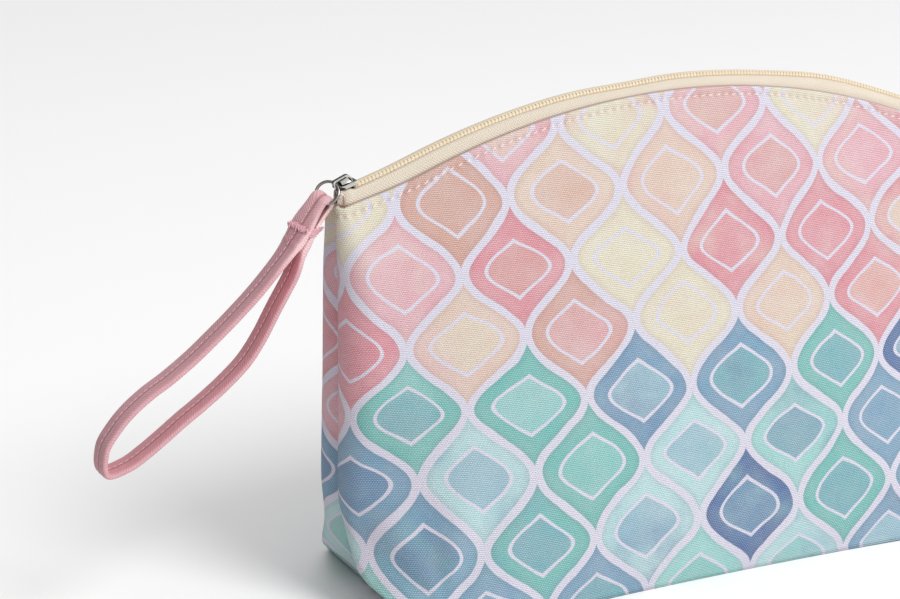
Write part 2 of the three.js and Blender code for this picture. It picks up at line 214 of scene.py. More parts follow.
# The brown tack at the front tape's left end: one run goes down the tape, one along its hem.
# Places are millimetres from the middle of the bag, and shares of the way from the coil to the hem.
TACK_DOWN = 7
TACK_DOWN_AT = 118.65
TACK_DOWN_ZIGZAG = 0.12
TACK_DOWN_FROM = 0.46
TACK_DOWN_STEP = 0.09
TACK_ALONG = 5
TACK_ALONG_FROM = 118.8
TACK_ALONG_STEP = 0.22
TACK_ALONG_AT = 0.95
TACK_ALONG_ZIGZAG = 0.05
TACK_OUT = Vector((-0.4, -1.0, 0.4))
TACK_RAISED = 0.22 * MM
TACK_HALF = 0.8 * MM
TACK_THREAD = 0.2 * MM

# The slider: how it is shortened, lowered and capped under its bridge. Plain lengths are millimetres in
# its own frame.
SLIDER_AT = -117.0 * MM
SLIDER_SHORTER = 0.81
SLIDER_SHORTENS_ABOUT = -0.38
BRIDGE_FOOT = 1.2
BRIDGE_LOWER = 0.8
NOSE_DROP = 0.5
WING_THINNER = 0.9
SHOULDER_BACK = 1.25
SHOULDER_WIDER = 1.12
LOWER_PLATE_TOP = -3.0
LOWER_PLATE_SHARE = 0.6
LOWER_PLATE_ABOUT = -0.2
CAP_AT = Vector((0.2, 0.0, 1.3))
CAP_SIZE = (3.2, 4.0, 1.6)
CAP_TOP = 2.0
CAP_TOP_SHARE = 0.33
CAP_SLOPE = 0.75
CAP_DIP = 0.3
SLIDER_WELD = 0.01 * MM
SLIDER_FLAT = math.radians(4.0)
SLIDER_EDGE = 0.14 * MM
SLIDER_EDGE_STEPS = 3
SLIDER_EDGE_FROM = math.radians(30.0)
SLIDER_SMOOTH = math.radians(35.0)

# The wire ring, a little shorter along the strap than round
RING_RADIUS = 3.8 * MM
RING_WIRE = 0.48 * MM
RING_SHORTER = 0.947
RING_TWIST = math.radians(35.0)
# The ring's steel is the slider's made darker: a painted darker reflection
RING_REFLECTS_DARKER = 0.62

# Strap: distances down from the ring's middle and of the two legs across it, in millimetres
StrapRow = namedtuple("StrapRow", "along outer inner")
STRAP_ROWS = [
    StrapRow(6.0, -1.3, 2.9),
    StrapRow(11.0, -0.2, 2.35),
    StrapRow(16.5, 1.2, 4.0),
    StrapRow(19.0, 1.4, 4.6),
    StrapRow(26.0, 1.6, 7.7),
    StrapRow(37.0, 1.5, 10.1),
    StrapRow(47.5, 0.6, 12.5),
    StrapRow(56.0, -0.5, 13.4),
    StrapRow(65.0, -1.9, 12.5),
    StrapRow(74.0, -4.0, 10.7),
    StrapRow(81.5, -6.3, 8.8),
    StrapRow(89.0, -7.7, 7.2),
    StrapRow(96.0, -7.8, 5.5),
    StrapRow(102.5, -6.5, 3.2),
]
STRAP_TIP = (-1.4, -107.9)
STRAP_SWING = math.radians(42.8)
LEG_TWIST = math.radians(5.0)
TWISTS = (5.0 * MM, 28.0 * MM)
EYE_TOP = 2.9 * MM
EYE_HALF = 0.75 * MM
EYE_EASE = 0.5 * MM
EYE_STEPS = 30
LEG_STEPS = 1200
STRAP_STATIONS = 420

# The strap's section and how it changes down from the ring
STRAP_POINTS = 36
STRAP_ROUND_ACROSS = 0.55
STRAP_ROUND_OUT = 0.5
SEAM_GROOVE = 0.45 * MM
SEAM_GROOVE_SPREAD = 0.5 * MM
SEAM_GROOVE_DEPTH = 0.42
STRAP_WIDENS = (4.5 * MM, 14.0 * MM)
GATHERS = (12.0 * MM, 16.5 * MM)
GATHERS_END = (18.5 * MM, 21.0 * MM)
GATHERED_BULK = 0.4
RING_BULK = 0.3
RING_BULK_ENDS = (7.0 * MM, 11.0 * MM)

# Where the strap's faces take painted shade and light
INNER_FACING = (0.25, 0.8)
INNER_STARTS = (16.0 * MM, 21.0 * MM)
INNER_FADES = (22.0 * MM, 60.0 * MM)
INNER_FADE = 0.65
EYE_SHADE_ENDS = (9.0 * MM, 13.0 * MM)
SECOND_LEG = (1.0 * MM, 2.0 * MM)

# The strap's seam, and its tack: a bar of stitches on each leg, wraps round their edges and frayed ends
SEAM_FROM = 5.5 * MM
SEAM_ASIDE = 0.65 * MM
SEAM_SUNK = 0.46
SEAM_STITCH_SHARE = 0.95
SEAM_THREAD = 0.32 * MM
BAR_STITCHES = 24
BAR_HALF_MM = 3.9
BAR_HIGHER = 3.0 * MM
BAR_LOWER = 0.6 * MM
BAR_SLANT = 0.15
BAR_STRAY = 0.9 * MM
BAR_LOOSE = 0.5 * MM
BAR_ZIGZAG_MM = 0.45
BAR_STITCH = 1.2 * MM
BAR_STITCH_VARIES = 0.6 * MM
BAR_THREAD = 0.27 * MM
WRAPS = 8
WRAP_ROWS = (-1.2 * MM, 1.6 * MM)
WRAP_STRAY = 0.3 * MM
WRAP_LOOSE = 0.5 * MM
WRAP_STARTS = 0.4 * MM
WRAP_ACROSS = 4.2 * MM
WRAP_RISE = 2.4 * MM
WRAP_THREAD = 0.25 * MM
FRAYS = 11
FRAY_STEPS = 4
FRAY_FROM = 2.2 * MM
FRAY_FROM_VARIES = 0.9 * MM
FRAY_STRAY = 1.4 * MM
FRAY_LENGTH = 1.1 * MM
FRAY_LENGTH_VARIES = 1.3 * MM
FRAY_OUT = 0.5 * MM
FRAY_DROOP = 1.2 * MM
FRAY_THREAD = 0.09 * MM
TACK_THREAD_SHADE = (0.78, 0.5, 0.57)
TACK_SEED = 3

# The photograph's camera, the light and the floor
CAMERA_AT = (-0.384584, -0.626451, 0.303304)
CAMERA_LOOKS = (0.417278, 0.862254, -0.287048)
CAMERA_LENS = 92.0
CAMERA_SENSOR = 36.0
CAMERA_CLIP = (0.01, 50.0)
FLOOR_SIZE = 12.0
FLOOR_MIDDLE = (0.0, 3.0, 0.0)
SKY_TOWARDS = (0.72, -0.34, 0.6)
SKY_RISES = (-0.45, 0.6)
SKY_DARK = (0.1, 0.1, 0.1)
SKY_PALE = (1.0, 1.0, 1.0)
KEY_AT = Vector((0.8, -2.0, 2.2))
KEY_AIM = Vector((0.0, 0.0, 0.08))
KEY_SIZE = 1.5


def srgb(red, green, blue):
    """A colour given as it looks on a screen, 0 to 255, as linear light."""
    def linear(value):
        share = value / 255
        return share / 12.92 if share <= 0.04045 else ((share + 0.055) / 1.055) ** 2.4
    return (linear(red), linear(green), linear(blue))


def shade_property(name, description, colour):
    return FloatVectorProperty(
        name=name, description=description, default=colour, subtype="COLOR", min=0, max=1
    )


def length_property(name, description, metres):
    return FloatProperty(name=name, description=description, default=metres, unit="LENGTH", min=0)


class BagClothSettings(bpy.types.PropertyGroup):
    """Sizes of the canvas and its stitches."""

    thickness: length_property("Thickness", "Thickness of the lined canvas", 1.5 * MM)
    warp: length_property("Warp", "Distance between the upright threads", 0.41 * MM)
    weft: length_property("Weft", "Distance between the level threads", 0.6 * MM)
    stitch_pitch: length_property("Stitch pitch", "From one topstitch to the next", 2.9 * MM)
    stitch_drop: length_property("Stitch drop", "From the folded edge to the topstitches", 2.7 * MM)
    thread: length_property("Thread", "Thickness of the sewing thread", 0.42 * MM)
    thread_colour: shade_property("Thread colour", "Colour of the topstitches", srgb(241, 216, 211))


class BagPrintSettings(bpy.types.PropertyGroup):
    """The printed lattice of pointed ovals."""

    column: length_property("Column", "Half the lattice's repeat across", 19.0 * MM)
    swing: length_property("Swing", "How far each line swings to its sides", 8.6 * MM)
    rise: length_property("Rise", "Half the lattice's repeat upwards", 22.0 * MM)
    line: length_property("Line", "Width of the pale lines", 2.5 * MM)
    inset: length_property("Inset", "Distance of the inner oval from the outer one", 7.0 * MM)
    turn_height: length_property("Turn height", "Where cool colours give way to warm ones", 76.0 * MM)
    line_colour: shade_property("Lines", "Colour of the lines", srgb(226, 222, 236))
    pink: shade_property("Pink", "A warm colour", srgb(232, 184, 192))
    rose: shade_property("Rose", "A warm colour", srgb(227, 162, 170))
    cream: shade_property("Cream", "A warm colour", srgb(232, 225, 203))
    peach: shade_property("Peach", "A warm colour", srgb(231, 207, 192))
    salmon: shade_property("Salmon", "A warm colour", srgb(218, 178, 166))
    slate: shade_property("Slate", "A cool colour", srgb(104, 128, 170))
    steel_blue: shade_property("Steel blue", "A cool colour", srgb(138, 172, 196))
    teal: shade_property("Teal", "A cool colour", srgb(132, 196, 190))
    aqua: shade_property("Aqua", "A cool colour", srgb(170, 218, 214))
    mist: shade_property("Mist", "A cool colour", srgb(194, 226, 228))


class BagZipSettings(bpy.types.PropertyGroup):
    """Sizes and colours of the zip."""

    coil_half: length_property("Coil half", "Half the closed coil's width", 2.2 * MM)
    coil_height: length_property("Coil height", "Height of the coil above its tapes", 2.0 * MM)
    coil_pitch: length_property("Coil pitch", "From one turn to the next", 1.2 * MM)
    tape_colour: shade_property("Tape", "Colour of the woven tapes", srgb(221, 211, 198))
    coil_colour: shade_property("Coil", "Colour of the nylon coil", srgb(222, 207, 182))
    tack_colour: shade_property("Tack", "Colour of the tack at the tape's end", srgb(180, 148, 127))
    steel: shade_property("Steel", "Colour of the slider and the ring", srgb(206, 204, 198))


class BagStrapSettings(bpy.types.PropertyGroup):
    """Sizes and colours of the wrist strap."""

    width: length_property("Width", "Width of the folded tape", 8.4 * MM)
    eye_width: length_property("Eye width", "Width of the tape where it passes the ring", 5.9 * MM)
    thickness: length_property("Thickness", "Thickness of the folded tape", 2.1 * MM)
    stitch_pitch: length_property("Stitch pitch", "From one seam stitch to the next", 2.0 * MM)
    tack_at: length_property("Tack", "Distance of the tack from the ring's middle", 13.2 * MM)
    cotton: shade_property("Cotton", "Colour of the tape", srgb(203, 154, 160))
    # A paler colour for the painted highlight on the edges and the painted light near the ring
    cotton_highlight: shade_property("Cotton edge", "Colour of the worn edges", srgb(232, 198, 200))
    # Painted shade, a deeper red, on the faces inside the loop
    cotton_inner_shade: shade_property("Cotton inside", "Colour inside the loop", srgb(222, 128, 140))
    thread: shade_property("Thread", "Colour of the thread", srgb(224, 184, 190))


class BagStageSettings(bpy.types.PropertyGroup):
    """Floor and light."""

    floor: shade_property("Floor", "Colour of the floor", (0.93, 0.93, 0.93))
    key: FloatProperty(name="Key light", description="Power of the large front light", default=56.0)
    sky: FloatProperty(name="Sky", description="Strength of the white surroundings", default=0.95)


def settings(context, name):
    return getattr(context.scene, "bag_" + name)


# Curves of the bag

def mix(a, b, share):
    return a + (b - a) * share


def smoothstep(value, low, high):
    share = min(max((value - low) / (high - low), 0), 1)
    return share * share * (3 - 2 * share)


def crown_line(x):
    """Height of the coil's top at a distance from the middle of the bag."""
    out = min(abs(x), ZIP_HALF)

    def arc(distance):
        return CROWN_HEIGHT - CROWN_RADIUS + math.sqrt(CROWN_RADIUS ** 2 - distance ** 2)

    if out <= FLARE_START:
        return arc(out)
    angle = math.asin(FLARE_START / CROWN_RADIUS)
    from_centre = FLARE_RADIUS * math.sin(angle) - (out - FLARE_START)
    sag = math.sqrt(FLARE_RADIUS ** 2 - from_centre ** 2) - FLARE_RADIUS * math.cos(angle)
    return arc(FLARE_START) - sag


def bell(value, middle, spread):
    """A smooth hump of height one."""
    return math.exp(-((value - middle) / spread) ** 2)


def crown_slope(x):
    """How steeply the crown rises at a place along the zip."""
    return (crown_line(x + MM) - crown_line(x - MM)) / (2 * MM)


def edge_line(x):
    """Height of the cloth's top edge."""
    share = min(abs(x) / ZIP_HALF, 1)
    lifted = EDGE_LIFT * smoothstep(abs(x), *EDGE_LIFTS)
    return crown_line(x) - EDGE_DROP - EDGE_SAG * share ** 2 + lifted


def wall_column(name, height):
    """One column of the wall table at any height, on a cubic that never overshoots its rows."""
    rows = WALL_ROWS
    last = len(rows) - 1
    at = [getattr(row, name) for row in rows]
    tall = [row.height for row in rows]

    def slope(i):
        return (at[i + 1] - at[i]) / (tall[i + 1] - tall[i])

    def tangent(i):
        if i == 0:
            return slope(0)
        if i == last:
            return slope(last - 1)
        before, after = slope(i - 1), slope(i)
        return 0 if before * after <= 0 else 2 * before * after / (before + after)

    wanted = height / MM
    i = 0
    while i < last - 1 and wanted > tall[i + 1]:
        i += 1
    span = tall[i + 1] - tall[i]
    t = (wanted - tall[i]) / span
    value = (1 + 2 * t) * (1 - t) ** 2 * at[i]
    value += t * (1 - t) ** 2 * span * tangent(i)
    value += t ** 2 * (3 - 2 * t) * at[i + 1]
    value += t ** 2 * (t - 1) * span * tangent(i + 1)
    return value if name in ("square", "widen") else value * MM


def wall_plan(height):
    """Half of the wall's plan at one height, as (out, forward) points from the middle to the seam."""
    at = {name: wall_column(name, height) for name in Section._fields[1:]}
    centre = Vector((at["reach"] - at["round"], at["depth"]))
    seam = Vector((at["seam"], SEAM_HALF_GAP))
    wide = at["round"] * at["widen"]
    wide_from = Vector((math.cos(WIDENS_FROM), math.sin(WIDENS_FROM)))
    wide_centre = centre + (at["round"] - wide) * wide_from

    def on_arc(angle):
        middle, radius = (wide_centre, wide) if angle > WIDENS_FROM else (centre, at["round"])
        return middle + radius * Vector((math.cos(angle), math.sin(angle)))

    # The fold starts where it runs the same way as the face's curve
    fold_start = math.pi / 2
    for _ in range(FIT_ROUNDS):
        out, forward = on_arc(fold_start)
        steep = -at["square"] * (at["belly"] - forward) / out
        fold_start = mix(fold_start, math.atan2(1, -steep), FIT_STEP)
    to_seam = seam - centre
    fold_end = math.atan2(to_seam.y, to_seam.x) + math.acos(at["round"] / to_seam.length)

    fold_out, fold_forward = on_arc(fold_start)
    plan = []
    for i in range(FACE_STEPS):
        share = mix(i / FACE_STEPS, math.sin(i / FACE_STEPS * math.pi / 2), FACE_CROWDING)
        fullness = 1 - share ** at["square"]
        plan.append(Vector((share * fold_out, mix(fold_forward, at["belly"], fullness))))
    plan += [on_arc(mix(fold_start, fold_end, i / FOLD_STEPS)) for i in range(FOLD_STEPS + 1)]
    touch = plan[-1]
    plan += [touch.lerp(seam, (i + 1) / RETURN_STEPS) for i in range(RETURN_STEPS)]
    plan += [seam - Vector((SEAM_TURN * share, 0)) for share in SEAM_TURN_SHARES]
    return plan


def wall_heights():
    """Heights of the wall's rows at the sides: close together at the floor and at the hem."""
    floor_rows, middle_rows, hem_rows = BAND_ROWS
    low = np.linspace(0, FLOOR_BAND, floor_rows, endpoint=False)
    middle = np.linspace(FLOOR_BAND, HEM_BAND, middle_rows, endpoint=False)
    hem = np.linspace(HEM_BAND, SIDE_TOP, hem_rows)
    return np.concatenate([low, middle, hem]).tolist()


def cloth_relief(x, z, below_edge):
    """How far the cloth stands out of its smooth form, from soft waves, creases and the sewn hem."""
    wave = noise.noise(Vector((x, z, 0)) / LONG_WAVE) * LONG_WAVE_HEIGHT
    wave += noise.noise(Vector((x, z, SHORT_WAVE_LAYER)) / SHORT_WAVE) * SHORT_WAVE_HEIGHT
    relief = wave * smoothstep(z, *WAVES_ABOVE_FLOOR) * smoothstep(below_edge, *WAVES_BELOW_EDGE)
    corner = Vector((abs(x) - CREASE_OUT, z - CREASE_UP))
    turn = math.atan2(corner.y, -corner.x)
    phase = CREASE_PHASE_LEFT if x < 0 else CREASE_PHASE_RIGHT
    crease = math.cos(CREASES_ROUND * turn + phase) * bell(corner.length, CREASE_FAR, CREASE_SPREAD)
    relief += CREASE_HEIGHT * crease
    for ridge in HEM_RIDGES:
        relief += ridge.height * bell(below_edge, ridge.below, ridge.spread)
    return relief


Wall = namedtuple("Wall", "outside inside across up below normal")


def wall_surface(side, thickness):
    """Grids of one wall: its outside and inside points, its cloth coordinates and its normals."""
    rows = []
    rim = thickness / 2
    for height in wall_heights():
        half = [(p.x, side * p.y, height / SIDE_TOP * (edge_line(p.x) - rim)) for p in wall_plan(height)]
        mirrored = [(-x, y, z) for x, y, z in half[1:]]
        rows.append(mirrored[::-1] + half)
    skin = np.array(rows).transpose(1, 0, 2)
    columns = skin.shape[0]
    middle = columns // 2
    steps_across = np.linalg.norm(np.diff(skin[..., :2], axis=0), axis=2)
    across = np.vstack([np.zeros(skin.shape[1]), np.cumsum(steps_across, axis=0)])
    across -= across[middle]
    up = np.interp(skin[..., 2], skin[middle, :, 2], line_lengths(skin[middle]))
    below = up[:, -1:] - up + rim
    normal = np.cross(np.gradient(skin, axis=0), np.gradient(skin, axis=1))
    normal /= np.linalg.norm(normal, axis=2, keepdims=True)
    normal *= side * np.sign(normal[middle, skin.shape[1] // 2, 1])
    relief = np.array([
        [cloth_relief(p[0], p[2], b) for p, b in zip(column, line)]
        for column, line in zip(skin, below)
    ])
    from_end = np.minimum(np.arange(columns), np.arange(columns)[::-1])
    relief *= np.clip((from_end - STILL_COLUMNS) / EASE_COLUMNS, 0, 1)[:, None]
    outside = skin + normal * relief[..., None]
    outside[..., 2] = np.maximum(outside[..., 2], 0)
    inside = skin - normal * thickness
    inside[:, 0, 2] = 0
    return Wall(outside, inside, across, up, below, normal)


def rolled_edge(wall, thickness):
    """Points of the hem's rounded top, over each column, from the outside to the inside."""
    centre = (wall.outside[:, -1] + wall.inside[:, -1]) / 2
    out = (wall.outside[:, -1] - wall.inside[:, -1]) / 2
    up = wall.outside[:, -1] - wall.outside[:, -2]
    up /= np.linalg.norm(up, axis=1, keepdims=True)
    lift = up * thickness / 2
    angles = [math.pi * k / HEM_ROLL_STEPS for k in range(1, HEM_ROLL_STEPS)]
    return np.stack([centre + out * math.cos(a) + lift * math.sin(a) for a in angles], axis=1)


# Meshes

def new_object(name, verts, faces, materials):
    mesh = bpy.data.meshes.new(name)
    mesh.from_pydata([tuple(v) for v in verts], [], faces)
    mesh.validate()
    for material in materials:
        mesh.materials.append(material)
    mesh.polygons.foreach_set("use_smooth", [True] * len(mesh.polygons))
    piece = bpy.data.objects.new(name, mesh)
    bpy.context.scene.collection.objects.link(piece)
    return piece


def shell_faces(stations, outer, inner, closed=False):
    """Faces of a shell whose stations each hold outer points followed by inner ones in reverse."""
    ring = outer + inner
    faces = []
    for i in range(stations if closed else stations - 1):
        here, there = i * ring, (i + 1) % stations * ring
        faces += [
            (here + j, here + (j + 1) % ring, there + (j + 1) % ring, there + j) for j in range(ring)
        ]
    return faces


def end_faces(start, outer, inner):
    """Quads, and one face with more corners where the outer row is longer, that close a shell's end."""
    faces = []
    rest = outer - inner
    for j in range(inner - 1):
        a, b = start + j, start + j + 1
        c, d = start + outer + inner - 2 - j, start + outer + inner - 1 - j
        faces.append((a, d, c, b))
    if rest > 0:
        faces.append(tuple(start + inner - 1 + k for k in range(rest + 2))[::-1])
    return faces


def edit_whole(piece):
    """Opens one piece in edit mode, with all of it selected and nothing else."""
    bpy.ops.object.select_all(action="DESELECT")
    piece.select_set(True)
    bpy.context.view_layer.objects.active = piece
    bpy.ops.object.mode_set(mode="EDIT")
    bpy.ops.mesh.select_all(action="SELECT")


def face_outwards(piece):
    """Turns a closed piece's faces to point out."""
    edit_whole(piece)
    bpy.ops.mesh.normals_make_consistent(inside=False)
    bpy.ops.object.mode_set(mode="OBJECT")
    piece.select_set(False)


def set_cloth_map(piece, places, first_ring=0, length=0.0):
    """Writes each point's place on the flat cloth, in metres, as the piece's UV map.

    On a closed band the first ring's points stand a whole length on where the last strip meets them.
    """
    layer = piece.data.uv_layers.new(name="cloth")
    last_ring = len(places) - first_ring
    for polygon in piece.data.polygons:
        closing = first_ring and max(polygon.vertices) >= last_ring and min(polygon.vertices) < first_ring
        for loop, vertex in zip(polygon.loop_indices, polygon.vertices):
            across, along = places[vertex]
            layer.data[loop].uv = (across, along + length if closing and vertex < first_ring else along)


def set_attribute(piece, name, values):
    layer = piece.data.attributes.new(name, "FLOAT", "POINT")
    layer.data.foreach_set("value", [float(v) for v in values])


def loft(name, outside, inside, places, materials, inner_slot=0, closed=False, length=0.0):
    """A closed shell between two grids of points, with its cloth map."""
    stations, outer = outside.shape[:2]
    inner = inside.shape[1]
    verts = np.concatenate([outside, inside[:, ::-1]], axis=1).reshape(-1, 3)
    faces = shell_faces(stations, outer, inner, closed)
    if not closed:
        faces += end_faces(0, outer, inner)
        faces += [f[::-1] for f in end_faces((stations - 1) * (outer + inner), outer, inner)]
    piece = new_object(name, verts, faces, materials)
    set_cloth_map(piece, places.reshape(-1, 2), outer + inner if closed else 0, length)
    if inner_slot:
        ring = outer + inner
        for polygon in piece.data.polygons:
            if all(v % ring >= outer for v in polygon.vertices):
                polygon.material_index = inner_slot
    face_outwards(piece)
    return piece


def finish_piece(piece, slot, *nodes):
    """Rides a piece on the bag, names its finish and the node that it stands for."""
    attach(piece, "root")
    if nodes:
        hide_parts(*nodes)


def modelled_shape(build):
    """Points and faces of a small shape that build makes with modelling tools, once, for copying."""
    bpy.ops.object.select_all(action="DESELECT")
    build()
    made = bpy.context.active_object
    verts = [v.co.copy() for v in made.data.vertices]
    faces = [tuple(p.vertices) for p in made.data.polygons]
    mesh = made.data
    bpy.data.objects.remove(made)
    bpy.data.meshes.remove(mesh)
    return verts, faces


def round_stitch():
    """A stitch of unit half-length and unit radius: a bead drawn out, its ends dipped into the cloth."""
    bpy.ops.mesh.primitive_uv_sphere_add(segments=8, ring_count=7, radius=1, rotation=(0, math.pi / 2, 0))
    bpy.ops.object.transform_apply(location=True, rotation=True, scale=True)
    for vertex in bpy.context.active_object.data.vertices:
        x = vertex.co.x
        vertex.co.x = math.copysign(abs(x) ** STITCH_BLUNT, x)
        vertex.co.z -= STITCH_DIP * x * x


def copies(name, shape, matrices, materials):
    """One piece made of a shape's copies."""
    verts, faces = [], []
    for matrix in matrices:
        first = len(verts)
        verts += [matrix @ v for v in shape[0]]
        faces += [tuple(first + i for i in face) for face in shape[1]]
    return new_object(name, verts, faces, materials)


def placed(at, along, out, half_length, radius, slant=0.0):
    """Matrix of a stitch at a place: its x along the seam, its z out of the cloth."""
    along = along.normalized()
    out = (out - along * out.dot(along)).normalized()
    side = out.cross(along)
    if slant:
        along = along * math.cos(slant) + side * math.sin(slant)
        side = out.cross(along)
    matrix = Matrix((along * half_length, side * radius, out * radius)).transposed().to_4x4()
    matrix.translation = at
    return matrix


def line_lengths(points):
    """Distance of each point from the start of its line."""
    steps = np.linalg.norm(np.diff(points, axis=0), axis=1)
    return np.concatenate([[0], np.cumsum(steps)])


def stitch_row(points, normals, measure, places, length, thread, slant=0.0):
    """Matrices of one seam's stitches, at places on a line of points whose measure rises along it."""
    matrices = []
    for place in places:
        i = int(np.clip(np.searchsorted(measure, place) - 1, 0, len(points) - 2))
        share = (place - measure[i]) / (measure[i + 1] - measure[i])
        at = Vector(mix(points[i], points[i + 1], share))
        out = Vector(mix(normals[i], normals[i + 1], share)).normalized()
        along = Vector(points[i + 1] - points[i])
        at += out * thread * STITCH_RAISED
        matrices.append(placed(at, along, out, length / 2, thread / 2, slant))
    return matrices


def thread_tube(points, radius, sides=5):
    """Points and faces of a thin thread that follows a line and tapers at its end."""
    verts, faces = [], []
    count = len(points)
    for i, point in enumerate(points):
        ahead = points[min(i + 1, count - 1)] - points[max(i - 1, 0)]
        first = ahead.orthogonal().normalized()
        second = ahead.normalized().cross(first)
        thin = radius * (1 - 0.5 * i / (count - 1))
        for k in range(sides):
            turn = 2 * math.pi * k / sides
            verts.append(point + thin * (first * math.cos(turn) + second * math.sin(turn)))
    for i in range(count - 1):
        for k in range(sides):
            a, b = i * sides + k, i * sides + (k + 1) % sides
            faces.append((a, b, b + sides, a + sides))
    faces.append(tuple(range(sides))[::-1])
    faces.append(tuple(range((count - 1) * sides, count * sides)))
    return verts, faces


# Materials

# The printed canvas: how its lines wander and how high its threads stand
THREAD_DRIFT = 0.16 * MM
LINE_DRIFT = 7.0 * MM
LINE_BLUR = 0.2 * MM
LINE_RAGGED = 0.7 * MM
TURN_UNEVEN = 30.0 * MM
PIGMENT_POOLS = (3.6 * MM, 1.2 * MM)
POOLED_PIGMENT = (0.45, 0.3, 0.36)
# Painted shade in the gaps between the threads and a painted highlight on their tops
THREAD_GAP_SHADOW = (0.45, 0.45, 0.47)
THREAD_TOP_HIGHLIGHT = (0.8, 0.8, 0.81)
CROSSING_HEIGHT = 0.05 * MM
WEFT_HEIGHT = 0.12 * MM
PUCKER_REACH = 1.1 * MM
PUCKER_HEIGHT = 0.16 * MM
# Painted shade in the needle holes beside the topstitches
NEEDLE_HOLE_SHADOW = (0.32, 0.2, 0.22)

# The lining, the zip's tapes, the nylon and the steel
LINING_HEIGHT = 0.1 * MM
LINING_PALE = (0.78, 0.74, 0.66)
LINING_DEEP = (0.7, 0.64, 0.55)
HERRINGBONE_BAND = 1.7 * MM
HERRINGBONE_PITCH = 0.95 * MM
HERRINGBONE_HEIGHT = 0.11 * MM
TAPE_WARP = 0.52 * MM
TAPE_WARP_HEIGHT = 0.02 * MM
# Painted shadow on the tapes where they go down behind the cloth's edge
HEM_SHADOW_TINT = (0.36, 0.25, 0.22)
# Painted light on the tapes' left end, which turns away from the light
TAPE_END_LIGHT_SPAN = (-118.4 * MM, -119.0 * MM)
TAPE_END_PAINTED_LIGHT = (0.98, 0.86, 0.76)
NYLON_GRAIN = 0.03 * MM
STEEL_GRAIN = 0.012 * MM

# The strap's cotton, with distances below the ring's middle where a painted highlight falls on its edges and
# painted light on its faces
STRAP_RIB_PITCH = 0.9 * MM
STRAP_RIB_HEIGHT = 0.1 * MM
STRAP_WARP = 0.6 * MM
STRAP_WARP_HEIGHT = 0.03 * MM
STRAP_STREAKS = (2600.0, 260.0, 1.0)
EDGE_HIGHLIGHT_RISES = (26.0 * MM, 14.0 * MM)
STRAP_LIT_NEAR_RING = (13.0 * MM, 4.0 * MM)
# Painted light on the leg that catches the light, and painted shadow inside the eye by the ring
LIT_COTTON = srgb(250, 216, 215)
EYE_SHADE = srgb(112, 50, 58)
# Painted shade in the seam's groove
GROOVE_SHADE_SPAN = (0.6 * MM, 0.15 * MM)
THREAD_FUZZ = 0.06 * MM


